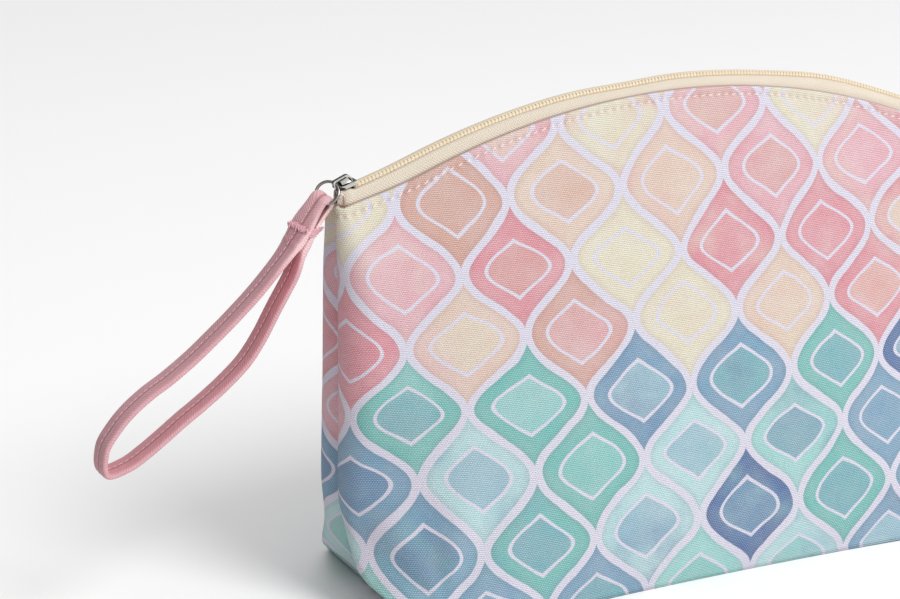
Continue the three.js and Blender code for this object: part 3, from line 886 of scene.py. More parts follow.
class Nodes:
    """Adds nodes to one tree and joins them."""

    def __init__(self, tree):
        self.tree = tree

    def join(self, value, socket):
        if isinstance(value, bpy.types.NodeSocket):
            self.tree.links.new(value, socket)
        else:
            socket.default_value = value

    def add(self, kind, **values):
        node = self.tree.nodes.new(kind)
        for name, value in values.items():
            setattr(node, name, value)
        return node

    def fed(self, node, *values):
        """Joins values to a node's first inputs, in order, and gives its first output."""
        for value, socket in zip(values, node.inputs):
            self.join(value, socket)
        return node.outputs[0]

    def math(self, operation, *values):
        return self.fed(self.add("ShaderNodeMath", operation=operation), *values)

    def vector(self, operation, *values):
        return self.fed(self.add("ShaderNodeVectorMath", operation=operation), *values)

    def join_xyz(self, x, y, z):
        return self.fed(self.add("ShaderNodeCombineXYZ"), x, y, z)

    def split(self, vector):
        node = self.add("ShaderNodeSeparateXYZ")
        self.join(vector, node.inputs[0])
        return node.outputs

    def step(self, value, low, high):
        """Rises smoothly from 0 to 1 as the value goes from low to high."""
        return self.fed(self.add("ShaderNodeMapRange", interpolation_type="SMOOTHSTEP"), value, low, high)

    def ribs(self, value, pitch):
        """A wave between -1 and 1, once in each pitch."""
        return self.math("SINE", self.math("MULTIPLY", value, 2 * math.pi / pitch))

    def mix(self, share, a, b, blend="MIX"):
        """A mix of two colours, which are a Mix node's inputs 6 and 7 and its output 2."""
        node = self.add("ShaderNodeMix", data_type="RGBA", blend_type=blend)
        self.join(share, node.inputs[0])
        self.join(a, node.inputs[6])
        self.join(b, node.inputs[7])
        return node.outputs[2]

    def tinted(self, colour, mask, strength, shade, blend="MIX"):
        """A colour that takes a shade where the mask is bright."""
        return self.mix(self.math("MULTIPLY", mask, strength), colour, (*shade, 1), blend)

    def noise_node(self, vector, scale, detail, roughness=0.5):
        node = self.add("ShaderNodeTexNoise")
        self.join(vector, node.inputs["Vector"])
        node.inputs["Scale"].default_value = scale
        node.inputs["Detail"].default_value = detail
        node.inputs["Roughness"].default_value = roughness
        return node

    def noise(self, vector, scale, detail=2.0, roughness=0.5):
        return self.noise_node(vector, scale, detail, roughness).outputs[0]

    def drifting(self, vector, scale, detail, amount):
        """A place that wanders a little to all sides."""
        drift = self.noise_node(vector, scale, detail).outputs["Color"]
        moved = self.add("ShaderNodeVectorMath", operation="SCALE")
        self.join(self.vector("SUBTRACT", drift, (0.5, 0.5, 0.5)), moved.inputs[0])
        moved.inputs["Scale"].default_value = amount
        return self.vector("ADD", vector, moved.outputs[0])

    def ramp(self, share, colours):
        """Even bands of flat colour."""
        node = self.add("ShaderNodeValToRGB")
        band = node.color_ramp
        band.interpolation = "CONSTANT"
        while len(band.elements) < len(colours):
            band.elements.new(1.0)
        for i, colour in enumerate(colours):
            band.elements[i].position = i / len(colours)
            band.elements[i].color = (*colour, 1)
        self.join(share, node.inputs[0])
        return node.outputs[0]

    def cloth_map(self):
        return self.add("ShaderNodeUVMap", uv_map="cloth").outputs[0]

    def place(self):
        return self.add("ShaderNodeTexCoord").outputs["Object"]

    def attribute(self, name):
        return self.add("ShaderNodeAttribute", attribute_name=name).outputs["Fac"]

    def group(self, tree, **values):
        node = self.add("ShaderNodeGroup", node_tree=tree)
        for name, value in values.items():
            self.join(value, node.inputs[name.replace("_", " ").title()])
        return node.outputs

    def surface(self, height=None, **values):
        """A Principled surface with its bump height in metres, joined to the output."""
        shader = self.add("ShaderNodeBsdfPrincipled")
        for name, value in values.items():
            self.join(value, shader.inputs[name.replace("_", " ").title().replace("Ior", "IOR")])
        if height is not None:
            bump = self.add("ShaderNodeBump")
            bump.inputs["Strength"].default_value = 1.0
            bump.inputs["Distance"].default_value = 1.0
            self.join(height, bump.inputs["Height"])
            self.join(bump.outputs[0], shader.inputs["Normal"])
        output = self.add("ShaderNodeOutputMaterial")
        self.join(shader.outputs[0], output.inputs[0])


def new_material(name):
    material = bpy.data.materials.new(name)
    material.use_nodes = True
    material.node_tree.nodes.clear()
    return material, Nodes(material.node_tree)


def new_group(name, inputs, outputs):
    """An empty shader group with named sockets, and its two ends."""
    tree = bpy.data.node_groups.new(name, "ShaderNodeTree")
    for label, kind in inputs:
        tree.interface.new_socket(label, in_out="INPUT", socket_type=kind)
    for label, kind in outputs:
        tree.interface.new_socket(label, in_out="OUTPUT", socket_type=kind)
    nodes = Nodes(tree)
    start = nodes.add("NodeGroupInput")
    end = nodes.add("NodeGroupOutput")
    return tree, nodes, start.outputs, end.inputs


def toned(colour, *factors):
    """A colour whose channels are scaled, all by one factor or each by its own."""
    return tuple(c * f for c, f in zip(colour, factors if len(factors) > 1 else factors * 3))


def weave_group():
    """Plain weave: level threads that stand out as ribs, and a shade that is darkest between them and
    alternates at each crossing.
    """
    made = bpy.data.node_groups.get("plain_weave")
    if made:
        return made
    tree, nodes, given, wanted = new_group(
        "plain_weave",
        [("Vector", "NodeSocketVector"), ("Warp", "NodeSocketFloat"), ("Weft", "NodeSocketFloat")],
        [("Height", "NodeSocketFloat"), ("Shade", "NodeSocketFloat")],
    )
    x, y, _ = nodes.split(nodes.drifting(given["Vector"], 420.0, 1.0, THREAD_DRIFT))

    def over_and_under(place, pitch):
        return nodes.math("SINE", nodes.math("DIVIDE", nodes.math("MULTIPLY", place, math.pi), pitch))

    across = over_and_under(x, given["Warp"])
    level = over_and_under(y, given["Weft"])
    crossing = nodes.math("MULTIPLY", across, level)
    height = nodes.math("POWER", nodes.math("ABSOLUTE", crossing), 0.6)
    nodes.join(height, wanted["Height"])
    rib = nodes.math("MULTIPLY_ADD", nodes.math("ABSOLUTE", level), 0.75, 0.02)
    nodes.join(nodes.math("MULTIPLY_ADD", crossing, 0.34, rib), wanted["Shade"])
    return tree


def lattice_group():
    """A lattice of pointed ovals: distance to the nearest line, each oval's own number and its height."""
    tree, nodes, given, wanted = new_group(
        "oval_lattice",
        [
            ("Vector", "NodeSocketVector"),
            ("Column", "NodeSocketFloat"),
            ("Swing", "NodeSocketFloat"),
            ("Rise", "NodeSocketFloat"),
        ],
        [
            ("Distance", "NodeSocketFloat"),
            ("Oval", "NodeSocketVector"),
            ("Height", "NodeSocketFloat"),
        ],
    )
    across, up, _ = nodes.split(given["Vector"])
    repeat = nodes.math("MULTIPLY", given["Column"], 2.0)
    angle = nodes.math("DIVIDE", nodes.math("MULTIPLY", up, math.pi), given["Rise"])
    sway = nodes.math("MULTIPLY", given["Swing"], nodes.math("COSINE", angle))

    def line_family(offset):
        turns = nodes.math("DIVIDE", offset, repeat)
        number = nodes.math("FLOOR", turns)
        share = nodes.math("SUBTRACT", turns, number)
        from_middle = nodes.math("ABSOLUTE", nodes.math("SUBTRACT", share, 0.5))
        distance = nodes.math("MULTIPLY", nodes.math("SUBTRACT", 0.5, from_middle), repeat)
        return number, distance

    even, even_distance = line_family(nodes.math("SUBTRACT", across, sway))
    odd_place = nodes.math("ADD", nodes.math("SUBTRACT", across, given["Column"]), sway)
    odd, odd_distance = line_family(odd_place)
    steep = nodes.math("DIVIDE", nodes.math("MULTIPLY", given["Swing"], math.pi), given["Rise"])
    steep = nodes.math("MULTIPLY", steep, nodes.math("SINE", angle))
    lean = nodes.math("SQRT", nodes.math("ADD", nodes.math("MULTIPLY", steep, steep), 1.0))
    nearest = nodes.math("MINIMUM", even_distance, odd_distance)
    nodes.join(nodes.math("DIVIDE", nearest, lean), wanted["Distance"])

    kind = nodes.math("SUBTRACT", even, odd)
    shift = nodes.math("MULTIPLY", nodes.math("SUBTRACT", 1.0, kind), given["Rise"])
    tall = nodes.math("MULTIPLY", given["Rise"], 2.0)
    level = nodes.math("FLOOR", nodes.math("DIVIDE", nodes.math("ADD", up, shift), tall))
    middle = nodes.math("MULTIPLY", nodes.math("ADD", level, 0.5), tall)
    nodes.join(nodes.math("SUBTRACT", middle, shift), wanted["Height"])
    nodes.join(nodes.join_xyz(nodes.math("ADD", even, odd), level, kind), wanted["Oval"])
    return tree


def wash_group():
    """Watercolour wash: pigment that pools and thins, on any colour."""
    tree, nodes, given, wanted = new_group(
        "watercolour_wash",
        [("Vector", "NodeSocketVector"), ("Color", "NodeSocketColor"), ("Second", "NodeSocketColor")],
        [("Color", "NodeSocketColor")],
    )
    pool = nodes.noise(given["Vector"], 42.0, 3.0, 0.55)
    grain = nodes.noise(given["Vector"], 260.0, 5.0, 0.65)
    bleed = nodes.step(pool, 0.42, 0.78)
    mixed = nodes.mix(nodes.math("MULTIPLY", bleed, 0.55), given["Color"], given["Second"])
    tone = nodes.add("ShaderNodeHueSaturation")
    nodes.join(mixed, tone.inputs["Color"])
    thin = nodes.noise(nodes.vector("ADD", given["Vector"], (0.31, 0.17, 0.0)), 75.0, 4.0, 0.6)
    nodes.join(nodes.math("MULTIPLY_ADD", thin, 0.75, 0.62), tone.inputs["Saturation"])
    bright = nodes.math("MULTIPLY_ADD", grain, -0.12, 1.09)
    nodes.join(nodes.math("MULTIPLY_ADD", thin, -0.06, bright), tone.inputs["Value"])
    nodes.join(tone.outputs[0], wanted["Color"])
    return tree


def print_colour(nodes, flat, look):
    """The print: washed ovals, warm above and cool below, between pale lines."""
    drawn = nodes.drifting(flat, 26.0, 2.0, LINE_DRIFT)
    lattice = nodes.group(
        lattice_group(), vector=drawn, column=look.column, swing=look.swing, rise=look.rise
    )
    distance = lattice["Distance"]
    chance = nodes.add("ShaderNodeTexWhiteNoise", noise_dimensions="3D")
    nodes.join(lattice["Oval"], chance.inputs["Vector"])
    first, second, third = nodes.split(chance.outputs["Color"])
    warm = (look.cream, look.pink, look.peach, look.rose, look.cream, look.salmon, look.pink)
    cool = (look.teal, look.steel_blue, look.aqua, look.slate, look.mist, look.teal, look.steel_blue)
    middle = nodes.math("SUBTRACT", lattice["Height"], TURN_UNEVEN / 2)
    level = nodes.math("MULTIPLY_ADD", third, TURN_UNEVEN, middle)
    is_warm = nodes.math("GREATER_THAN", level, look.turn_height)

    def tint(share):
        return nodes.mix(is_warm, nodes.ramp(share, cool), nodes.ramp(share, warm))

    inside = nodes.step(distance, look.inset - LINE_BLUR, look.inset + LINE_BLUR)
    blended = nodes.mix(0.5, tint(first), tint(second))
    colour = nodes.mix(inside, tint(first), blended)
    wash = nodes.group(wash_group(), vector=flat, color=colour, second=tint(third))
    ragged = nodes.math("MULTIPLY_ADD", nodes.noise(flat, 160.0), LINE_RAGGED, -LINE_RAGGED / 2)
    edge = nodes.math("ADD", distance, ragged)
    colour = nodes.tinted(wash["Color"], nodes.step(edge, *PIGMENT_POOLS), 0.16, POOLED_PIGMENT, "MULTIPLY")

    def pale_line(away, half):
        return nodes.step(away, half + LINE_BLUR, half - LINE_BLUR)

    from_inset = nodes.math("ABSOLUTE", nodes.math("SUBTRACT", edge, look.inset))
    lines = nodes.math("MAXIMUM", pale_line(edge, look.line / 2), pale_line(from_inset, look.line / 4))
    return nodes.mix(lines, colour, (*look.line_colour, 1))


def topstitch_pull(nodes, flat, cloth):
    """What the topstitches do to the cloth: the height of its puckers and a mask for painted shade in the
    needle holes.
    """
    below_edge = nodes.attribute("below_edge")
    beside = nodes.math("DIVIDE", nodes.math("SUBTRACT", below_edge, cloth.stitch_drop), PUCKER_REACH)
    near = nodes.math("EXPONENT", nodes.math("MULTIPLY", nodes.math("MULTIPLY", beside, beside), -1.0))
    along = nodes.split(flat)[0]
    wave = nodes.math("COSINE", nodes.math("MULTIPLY", along, 2 * math.pi / cloth.stitch_pitch))
    pucker = nodes.math("MULTIPLY", nodes.math("MULTIPLY", near, wave), PUCKER_HEIGHT)
    holes = nodes.math("MULTIPLY", nodes.math("POWER", near, 3.0), nodes.step(wave, -0.1, -0.75))
    return pucker, holes


def canvas_material(context):
    """Printed canvas: a lattice of washed ovals between pale lines, on a plain weave."""
    cloth = settings(context, "cloth")
    material, nodes = new_material("printed_canvas")
    flat = nodes.cloth_map()
    colour = print_colour(nodes, flat, settings(context, "print"))
    weave = nodes.group(weave_group(), vector=flat, warp=cloth.warp, weft=cloth.weft)
    # Painted shade between the threads and a painted highlight on the thread tops, from the weave's shade
    gap_shadow = nodes.math("MULTIPLY_ADD", weave["Shade"], -0.56, 0.68)
    colour = nodes.mix(gap_shadow, colour, (*THREAD_GAP_SHADOW, 1), "MULTIPLY")
    colour = nodes.tinted(colour, nodes.step(weave["Shade"], 0.6, 1.0), 0.2, THREAD_TOP_HIGHLIGHT)
    crossings = nodes.math("MULTIPLY", weave["Height"], CROSSING_HEIGHT)
    height = nodes.math("MULTIPLY_ADD", weave["Shade"], WEFT_HEIGHT, crossings)
    # holes masks the painted shade in the needle holes
    pucker, holes = topstitch_pull(nodes, flat, cloth)
    nodes.surface(
        height=nodes.math("ADD", height, pucker),
        base_color=nodes.tinted(colour, holes, 0.12, NEEDLE_HOLE_SHADOW, "MULTIPLY"),
        roughness=nodes.math("MULTIPLY_ADD", weave["Height"], -0.1, 0.9),
        specular_ior_level=0.25,
        sheen_weight=0.12,
    )
    return material


def lining_material(context):
    """Plain cream cotton, for the inside of the walls."""
    cloth = settings(context, "cloth")
    material, nodes = new_material("lining_cotton")
    flat = nodes.cloth_map()
    weave = nodes.group(weave_group(), vector=flat, warp=cloth.warp, weft=cloth.weft)
    nodes.surface(
        height=nodes.math("MULTIPLY", weave["Height"], LINING_HEIGHT),
        base_color=nodes.mix(nodes.noise(flat, 60.0, 3.0), (*LINING_PALE, 1), (*LINING_DEEP, 1)),
        roughness=0.9,
        specular_ior_level=0.2,
    )
    return material


def tape_material(context):
    """Zip tape: a fine herringbone whose slanted ribs change direction in narrow bands."""
    look = settings(context, "zip")
    material, nodes = new_material("zip_tape_weave")
    flat = nodes.cloth_map()
    along, across, _ = nodes.split(flat)
    slanted = nodes.math("ADD", along, nodes.math("PINGPONG", across, HERRINGBONE_BAND))
    rib = nodes.math("MULTIPLY_ADD", nodes.ribs(slanted, HERRINGBONE_PITCH), 0.5, 0.5)
    raised = nodes.math("MULTIPLY", rib, HERRINGBONE_HEIGHT)
    height = nodes.math("MULTIPLY_ADD", nodes.ribs(across, TAPE_WARP), TAPE_WARP_HEIGHT, raised)
    pale = tuple(look.tape_colour)
    deep = toned(pale, 0.82, 0.79, 0.72)
    patchy = nodes.noise(flat, 110.0, 3.0)
    shade = nodes.math("MULTIPLY_ADD", patchy, 0.3, nodes.math("MULTIPLY", rib, 0.5))
    colour = nodes.mix(shade, (*deep, 1), (*pale, 1))
    # Painted shadow in the crevice under the cloth's edge
    colour = nodes.tinted(colour, nodes.attribute("tucked"), 0.7, HEM_SHADOW_TINT)
    # Painted light on the turned-in left end of the tapes
    turned = nodes.step(nodes.split(nodes.place())[0], *TAPE_END_LIGHT_SPAN)
    colour = nodes.tinted(colour, turned, 0.8, TAPE_END_PAINTED_LIGHT)
    nodes.surface(height=height, base_color=colour, roughness=0.85, specular_ior_level=0.25, sheen_weight=0.1)
    return material


def coil_material(context):
    """Nylon coil, waxy and a little yellowed."""
    material, nodes = new_material("nylon_coil")
    place = nodes.place()
    patchy = nodes.noise(place, 240.0, 3.0)
    pale = tuple(settings(context, "zip").coil_colour)
    deep = toned(pale, 0.93, 0.9, 0.84)
    nodes.surface(
        base_color=nodes.mix(patchy, (*pale, 1), (*deep, 1)),
        roughness=nodes.math("MULTIPLY_ADD", patchy, 0.15, 0.42),
        specular_ior_level=0.4,
        height=nodes.math("MULTIPLY", nodes.noise(place, 2600.0), NYLON_GRAIN),
    )
    return material


def steel_material(context, name, bright):
    """Nickel-plated steel with faint rub marks and a painted dark reflection towards its rims."""
    material, nodes = new_material(name)
    place = nodes.place()
    rubbed = nodes.noise(place, 900.0, 4.0, 0.7)
    colour = toned(settings(context, "zip").steel, bright)
    dull = toned(colour, 0.72)
    # A painted dark reflection of the surroundings, where the surface turns away
    dark = toned(colour, 0.06)
    away = nodes.add("ShaderNodeLayerWeight")
    away.inputs["Blend"].default_value = 0.45
    rim = nodes.step(away.outputs["Facing"], 0.16, 0.62)
    plated = nodes.mix(rubbed, (*colour, 1), (*dull, 1))
    nodes.surface(
        base_color=nodes.mix(rim, plated, (*dark, 1)),
        metallic=1.0,
        roughness=nodes.math("MULTIPLY_ADD", rubbed, 0.22, 0.14),
        height=nodes.math("MULTIPLY", nodes.noise(place, 3200.0), STEEL_GRAIN),
    )
    return material


def strap_material(context):
    """Folded cotton tape: slanted ribs, painted shade in the groove down its middle and painted highlights on
    its edges.
    """
    look = settings(context, "strap")
    material, nodes = new_material("strap_cotton")
    flat = nodes.cloth_map()
    across, along, _ = nodes.split(flat)
    away = nodes.math("ABSOLUTE", across)
    slanted = nodes.math("ADD", along, nodes.math("MULTIPLY", away, 0.7))
    rib = nodes.math("MULTIPLY_ADD", nodes.ribs(slanted, STRAP_RIB_PITCH), 0.5, 0.5)
    raised = nodes.math("MULTIPLY", rib, STRAP_RIB_HEIGHT)
    height = nodes.math("MULTIPLY_ADD", nodes.ribs(across, STRAP_WARP), STRAP_WARP_HEIGHT, raised)
    streak = nodes.noise(nodes.vector("MULTIPLY", flat, STRAP_STREAKS), 1.0)
    patchy = nodes.math("MULTIPLY_ADD", streak, 0.9, -0.12)
    body = tuple(look.cotton)
    deep = toned(body, 0.78, 0.64, 0.68)
    colour = nodes.mix(nodes.math("MULTIPLY_ADD", rib, 0.35, patchy), (*deep, 1), (*body, 1))

    def up_to(below_ring, nearer_ring):
        tall = nodes.split(nodes.place())[2]
        return nodes.step(tall, RING_MIDDLE.z - below_ring, RING_MIDDLE.z - nearer_ring)

    # Painted highlight along both edges, stronger near the ring
    rubbed = nodes.step(away, look.width * 0.3, look.width * 0.52)
    more = nodes.math("MULTIPLY_ADD", up_to(*EDGE_HIGHLIGHT_RISES), 0.65, 0.2)
    colour = nodes.mix(nodes.math("MULTIPLY", rubbed, more), colour, (*look.cotton_highlight, 1))
    # Painted shade on the faces inside the loop
    colour = nodes.tinted(colour, nodes.attribute("inner_shade"), 0.55, look.cotton_inner_shade)
    # Painted light on the strap near the ring
    colour = nodes.tinted(colour, up_to(*STRAP_LIT_NEAR_RING), 0.3, look.cotton_highlight)
    # Painted light on the lit leg and painted shadow inside the eye
    colour = nodes.tinted(colour, nodes.attribute("lit_leg"), 0.8, LIT_COTTON)
    colour = nodes.tinted(colour, nodes.attribute("eye_shadow"), 0.8, EYE_SHADE)
    # Painted shade in the groove beside the seam
    off_groove = nodes.math("ABSOLUTE", nodes.math("SUBTRACT", across, SEAM_GROOVE))
    colour = nodes.tinted(colour, nodes.step(off_groove, *GROOVE_SHADE_SPAN), 0.55, deep, "MULTIPLY")
    nodes.surface(height=height, base_color=colour, roughness=0.92, specular_ior_level=0.2, sheen_weight=0.25)
    return material


def thread_material(name, colour, shade=(0.78, 0.78, 0.78)):
    """Twisted sewing thread, darker by its shade in places."""
    material, nodes = new_material(name)
    fuzz = nodes.noise(nodes.place(), 1500.0, 3.0)
    nodes.surface(
        base_color=nodes.mix(fuzz, (*colour, 1), (*toned(colour, *shade), 1)),
        roughness=0.75,
        specular_ior_level=0.3,
        sheen_weight=0.2,
        height=nodes.math("MULTIPLY", fuzz, THREAD_FUZZ),
    )
    return material


def floor_material(context):
    """Pale matte studio floor."""
    material, nodes = new_material("studio_floor")
    patchy = nodes.noise(nodes.place(), 3.0)
    tone = tuple(settings(context, "stage").floor)
    near = toned(tone, 0.985)
    nodes.surface(
        base_color=nodes.mix(patchy, (*tone, 1), (*near, 1)), roughness=0.8, specular_ior_level=0.1
    )
    return material


# Pieces

class BAG_OT_walls(bpy.types.Operator):
    """Sew the front and back walls of printed canvas, with their topstitches."""

    bl_idname = "bag.walls"
    bl_label = "Walls"

    def execute(self, context):
        cloth = settings(context, "cloth")
        canvas = canvas_material(context)
        lining = lining_material(context)
        thread = thread_material("topstitch_thread", tuple(cloth.thread_colour))
        stitch = modelled_shape(round_stitch)
        for side, name in ((-1, "front"), (1, "back")):
            wall = wall_surface(side, cloth.thickness)
            rim = rolled_edge(wall, cloth.thickness)
            outside = np.concatenate([wall.outside, rim], axis=1)
            flat = np.stack([wall.across, wall.up], axis=2)
            over = np.repeat(flat[:, -1:], rim.shape[1], axis=1)
            over[..., 1] += np.linspace(*HEM_ROLL_MAP, rim.shape[1])[None]
            places = np.concatenate([flat, over, flat[:, ::-1]], axis=1)
            panel = loft(name + "_wall", outside, wall.inside, places, [canvas, lining], 1)
            no_hem = np.zeros((len(wall.below), rim.shape[1]))
            below = np.concatenate([wall.below, no_hem, wall.below[:, ::-1]], axis=1)
            set_attribute(panel, "below_edge", below.ravel())
            finish_piece(panel, "canvas", name + "_panel")
            self.topstitch(name, wall, cloth, stitch, thread)
        return {"FINISHED"}

    def cloth_area(self, wall):
        """Area of one wall's cloth, from its grid."""
        first = wall.outside[1:, 1:] - wall.outside[:-1, :-1]
        second = wall.outside[1:, :-1] - wall.outside[:-1, 1:]
        return float(np.linalg.norm(np.cross(first, second), axis=2).sum() / 2)

    def topstitch(self, name, wall, cloth, stitch, thread):
        """The row of slanted stitches along one wall's hem."""
        points, normals, measure = [], [], []
        for i, below in enumerate(wall.below):
            row = int(np.argmax(below < cloth.stitch_drop))
            share = (below[row - 1] - cloth.stitch_drop) / (below[row - 1] - below[row])
            points.append(mix(wall.outside[i, row - 1], wall.outside[i, row], share))
            normals.append(wall.normal[i, row])
            measure.append(mix(wall.across[i, row - 1], wall.across[i, row], share))
        first = math.ceil(measure[TOPSTITCH_FREE] / cloth.stitch_pitch)
        last = math.floor(measure[-TOPSTITCH_FREE] / cloth.stitch_pitch)
        places = [k * cloth.stitch_pitch for k in range(first, last + 1)]
        matrices = stitch_row(
            np.array(points), np.array(normals), np.array(measure), places,
            cloth.stitch_pitch * TOPSTITCH_SHARE, cloth.thread, TOPSTITCH_SLANT,
        )
        finish_piece(copies(name + "_topstitch", stitch, matrices, [thread]), "canvas")


class BAG_OT_base(bpy.types.Operator):
    """Lay the cloth base between the walls."""

    bl_idname = "bag.base"
    bl_label = "Base"

    def execute(self, context):
        low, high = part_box("base_panel")
        inset = settings(context, "cloth").thickness + BASE_INSET
        plan = [(p.x - inset, p.y - inset) for p in wall_plan(0) if p.y > inset]
        outs, forwards = np.array(sorted(plan)).T
        lines = []
        for x in np.linspace(-high.x, high.x, BASE_STATIONS).tolist():
            forward = float(np.interp(min(abs(x), high.x - BASE_END), outs, forwards))
            into = max(abs(x) - (high.x - BASE_CORNER), 0) / BASE_CORNER
            forward = min(forward, high.y) - BASE_CORNER * (1 - math.sqrt(max(1 - into * into, 0)))
            lines.append([(x, y, 0.0) for y in np.linspace(-forward, forward, BASE_POINTS)])
        under = np.array(lines)
        over = under.copy()
        over[..., 2] = high.z - BASE_OVER
        under[..., 2] = low.z + BASE_UNDER
        flat = under[..., :2].copy()
        flat[..., 1] *= -1
        places = np.concatenate([flat, flat[:, ::-1]], axis=1)
        materials = [bpy.data.materials[name] for name in ("printed_canvas", "lining_cotton")]
        base = loft("base_cloth", under, over, places, materials, 1)
        set_attribute(base, "below_edge", [FAR_FROM_HEM] * len(base.data.vertices))
        finish_piece(base, "canvas_base", "base_panel")
        return {"FINISHED"}


def coil_drop(x):
    """How far the soft coil lies below the crown's curve, which it follows in a slight wave."""
    gap_shadow = bell(x, COIL_SINKS.at, COIL_SINKS.spread)
    lifted = bell(x, COIL_LIFTS.at, COIL_LIFTS.spread)
    return (COIL_DROP + COIL_SINKS.drop * gap_shadow + COIL_LIFTS.drop * lifted) * MM


class BAG_OT_zip(bpy.types.Operator):
    """Set in the zip: two woven tapes, the closed coil and the tack at its left end."""

    bl_idname = "bag.zip"
    bl_label = "Zip"

    tuck: length_property("Tuck", "How far the tapes reach below the cloth's edge", 4.8 * MM)

    def execute(self, context):
        look = settings(context, "zip")
        cloth = settings(context, "cloth")
        weave = tape_material(context)
        for side, name in ((-1, "zip_tape_front"), (1, "zip_tape_back")):
            self.tape(name, side, look, cloth, weave)
        self.coil(look, coil_material(context))
        self.tack(look, cloth)
        return {"FINISHED"}

    def hem(self, cloth):
        """How far out the tapes are when they reach the cloth's edge."""
        return EDGE_OUT - cloth.thickness - HEM_ROOM

    def tape_line(self, x, side, look, hem):
        """A tape's upper line at one place, as (out, up) points from under the coil to its tucked edge."""
        crown = crown_line(x)
        edge = edge_line(x)
        raised = smoothstep(-x, *TAPE_RISES)
        split = mix(*TAPE_SPLIT, smoothstep(-x, TAPE_SPLITS_FROM, ZIP_HALF))
        under = crown - coil_drop(x)
        shoulder = under - mix(*TAPE_SHOULDER_MM, (x / ZIP_HALF) ** 2) * MM
        shoulder = mix(shoulder, crown - TAPE_END_SHOULDER, raised)
        foot = mix(under - look.coil_height + TAPE_FOOT, crown - TAPE_END_FOOT, raised)
        sway = noise.noise(Vector((x / TAPE_SWAY_LENGTH, side * TAPE_SWAY_APART, 0)))
        bulge = TAPE_BULGE + sway * TAPE_SWAY_MM * MM
        beyond_coil, above_foot = TAPE_UNDER_COIL
        corners = [
            Vector((split, foot)),
            Vector((look.coil_half + beyond_coil, foot + above_foot)),
            Vector((look.coil_half + TAPE_BESIDE_COIL, shoulder)),
            Vector((hem, edge - HEM_COVER)),
            Vector((hem + TAPE_TUCK_SLANT * self.tuck, edge - self.tuck)),
        ]
        line = []
        for a, b, count in zip(corners, corners[1:], TAPE_STEPS):
            shown = count == max(TAPE_STEPS)
            for i in range(count):
                share = i / count
                lump = math.sin(math.pi * share) * bulge * TAPE_BULGE_SLANT if shown else 0
                line.append(a.lerp(b, share) + Vector((lump, lump)))
        return line + corners[-1:]

    def tape(self, name, side, look, cloth, weave):
        """One woven tape, from end to end of the zip."""
        hem = self.hem(cloth)
        outside, inside, places, widths = [], [], [], []
        end = ZIP_HALF + TAPE_OVERRUN
        for x in np.linspace(-end, end, TAPE_STATIONS).tolist():
            line = self.tape_line(x, side, look, hem)
            split = line[0].x
            inner = [
                p - TAPE_THICKNESS * Vector((smoothstep(p.x, split, hem), TAPE_DROP_SHARE)) for p in line
            ]
            inner[-1] = Vector((line[-1].x - TAPE_THICKNESS, line[-1].y))
            turned = tape_turn(x)
            gap = TAPE_END_GAP * smoothstep(-x, *TAPE_RISES)
            for points, grid in ((line, outside), (inner, inside)):
                grid.append([(x, side * max(p.x * turned, gap), p.y) for p in points])
            lengths = np.cumsum([0] + [(b - a).length for a, b in zip(line, line[1:])])
            widths.append(float(lengths[-1]))
            flat = [(x, length) for length in lengths]
            places.append(flat + flat[::-1])
        tape = loft(name + "_cloth", np.array(outside), np.array(inside), np.array(places), [weave])
        # Marks the tucked points, which take the painted shadow under the cloth's edge
        hidden = [float(i >= sum(TAPE_STEPS[:-1])) for i in range(sum(TAPE_STEPS) + 1)]
        set_attribute(tape, "tucked", (hidden + hidden[::-1]) * len(outside))
        finish_piece(tape, "zip_tape", name)

    def core(self, look, nylon, start, end):
        """The bead that fills the coil under its turns."""
        half = look.coil_half - CORE_INSET
        angles = [math.pi * k / CORE_STEPS for k in range(CORE_STEPS + 1)]
        rise = [look.coil_height * (CORE_SIDE + CORE_RISE * abs(math.sin(a)) ** CORE_ROUND) for a in angles]
        outside, inside = [], []
        for x in np.linspace(start, end, CORE_STATIONS).tolist():
            foot = crown_line(x) - coil_drop(x) - look.coil_height + CORE_FOOT
            bead = [(x, -half * math.cos(a), foot + up) for a, up in zip(angles, rise)]
            outside.append(bead)
            inside.append([(x, y * CORE_UNDERSIDE, foot) for _, y, _ in bead])
        places = np.zeros((CORE_STATIONS, 2 * len(angles), 2))
        return loft("zip_coil", np.array(outside), np.array(inside), places, [nylon])

    def coil(self, look, nylon):
        """The closed coil: its core and the turns of both sides, which alternate."""
        low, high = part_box("zip_chain")
        core = self.core(look, nylon, low.x, high.x)
        turn = modelled_shape(coil_turn)
        matrices = []
        for k in range(2 * int((high.x - low.x) / look.coil_pitch)):
            side = -1 if k % 2 else 1
            x = low.x + (k + 0.5) * look.coil_pitch / 2
            ahead = Vector((1, 0, crown_slope(x))).normalized()
            out = Vector((0, 1, 0)).cross(-ahead)
            basis = Matrix((ahead, Vector((0, side, 0)), out)).transposed().to_4x4()
            basis.translation = Vector((x, 0, crown_line(x) - coil_drop(x)))
            matrices.append(basis @ Matrix.Diagonal((MM, MM, MM, 1)))
        join_pieces(core, copies("zip_coil_turns", turn, matrices, [nylon]))
        finish_piece(core, "zip_coil", "zip_chain")

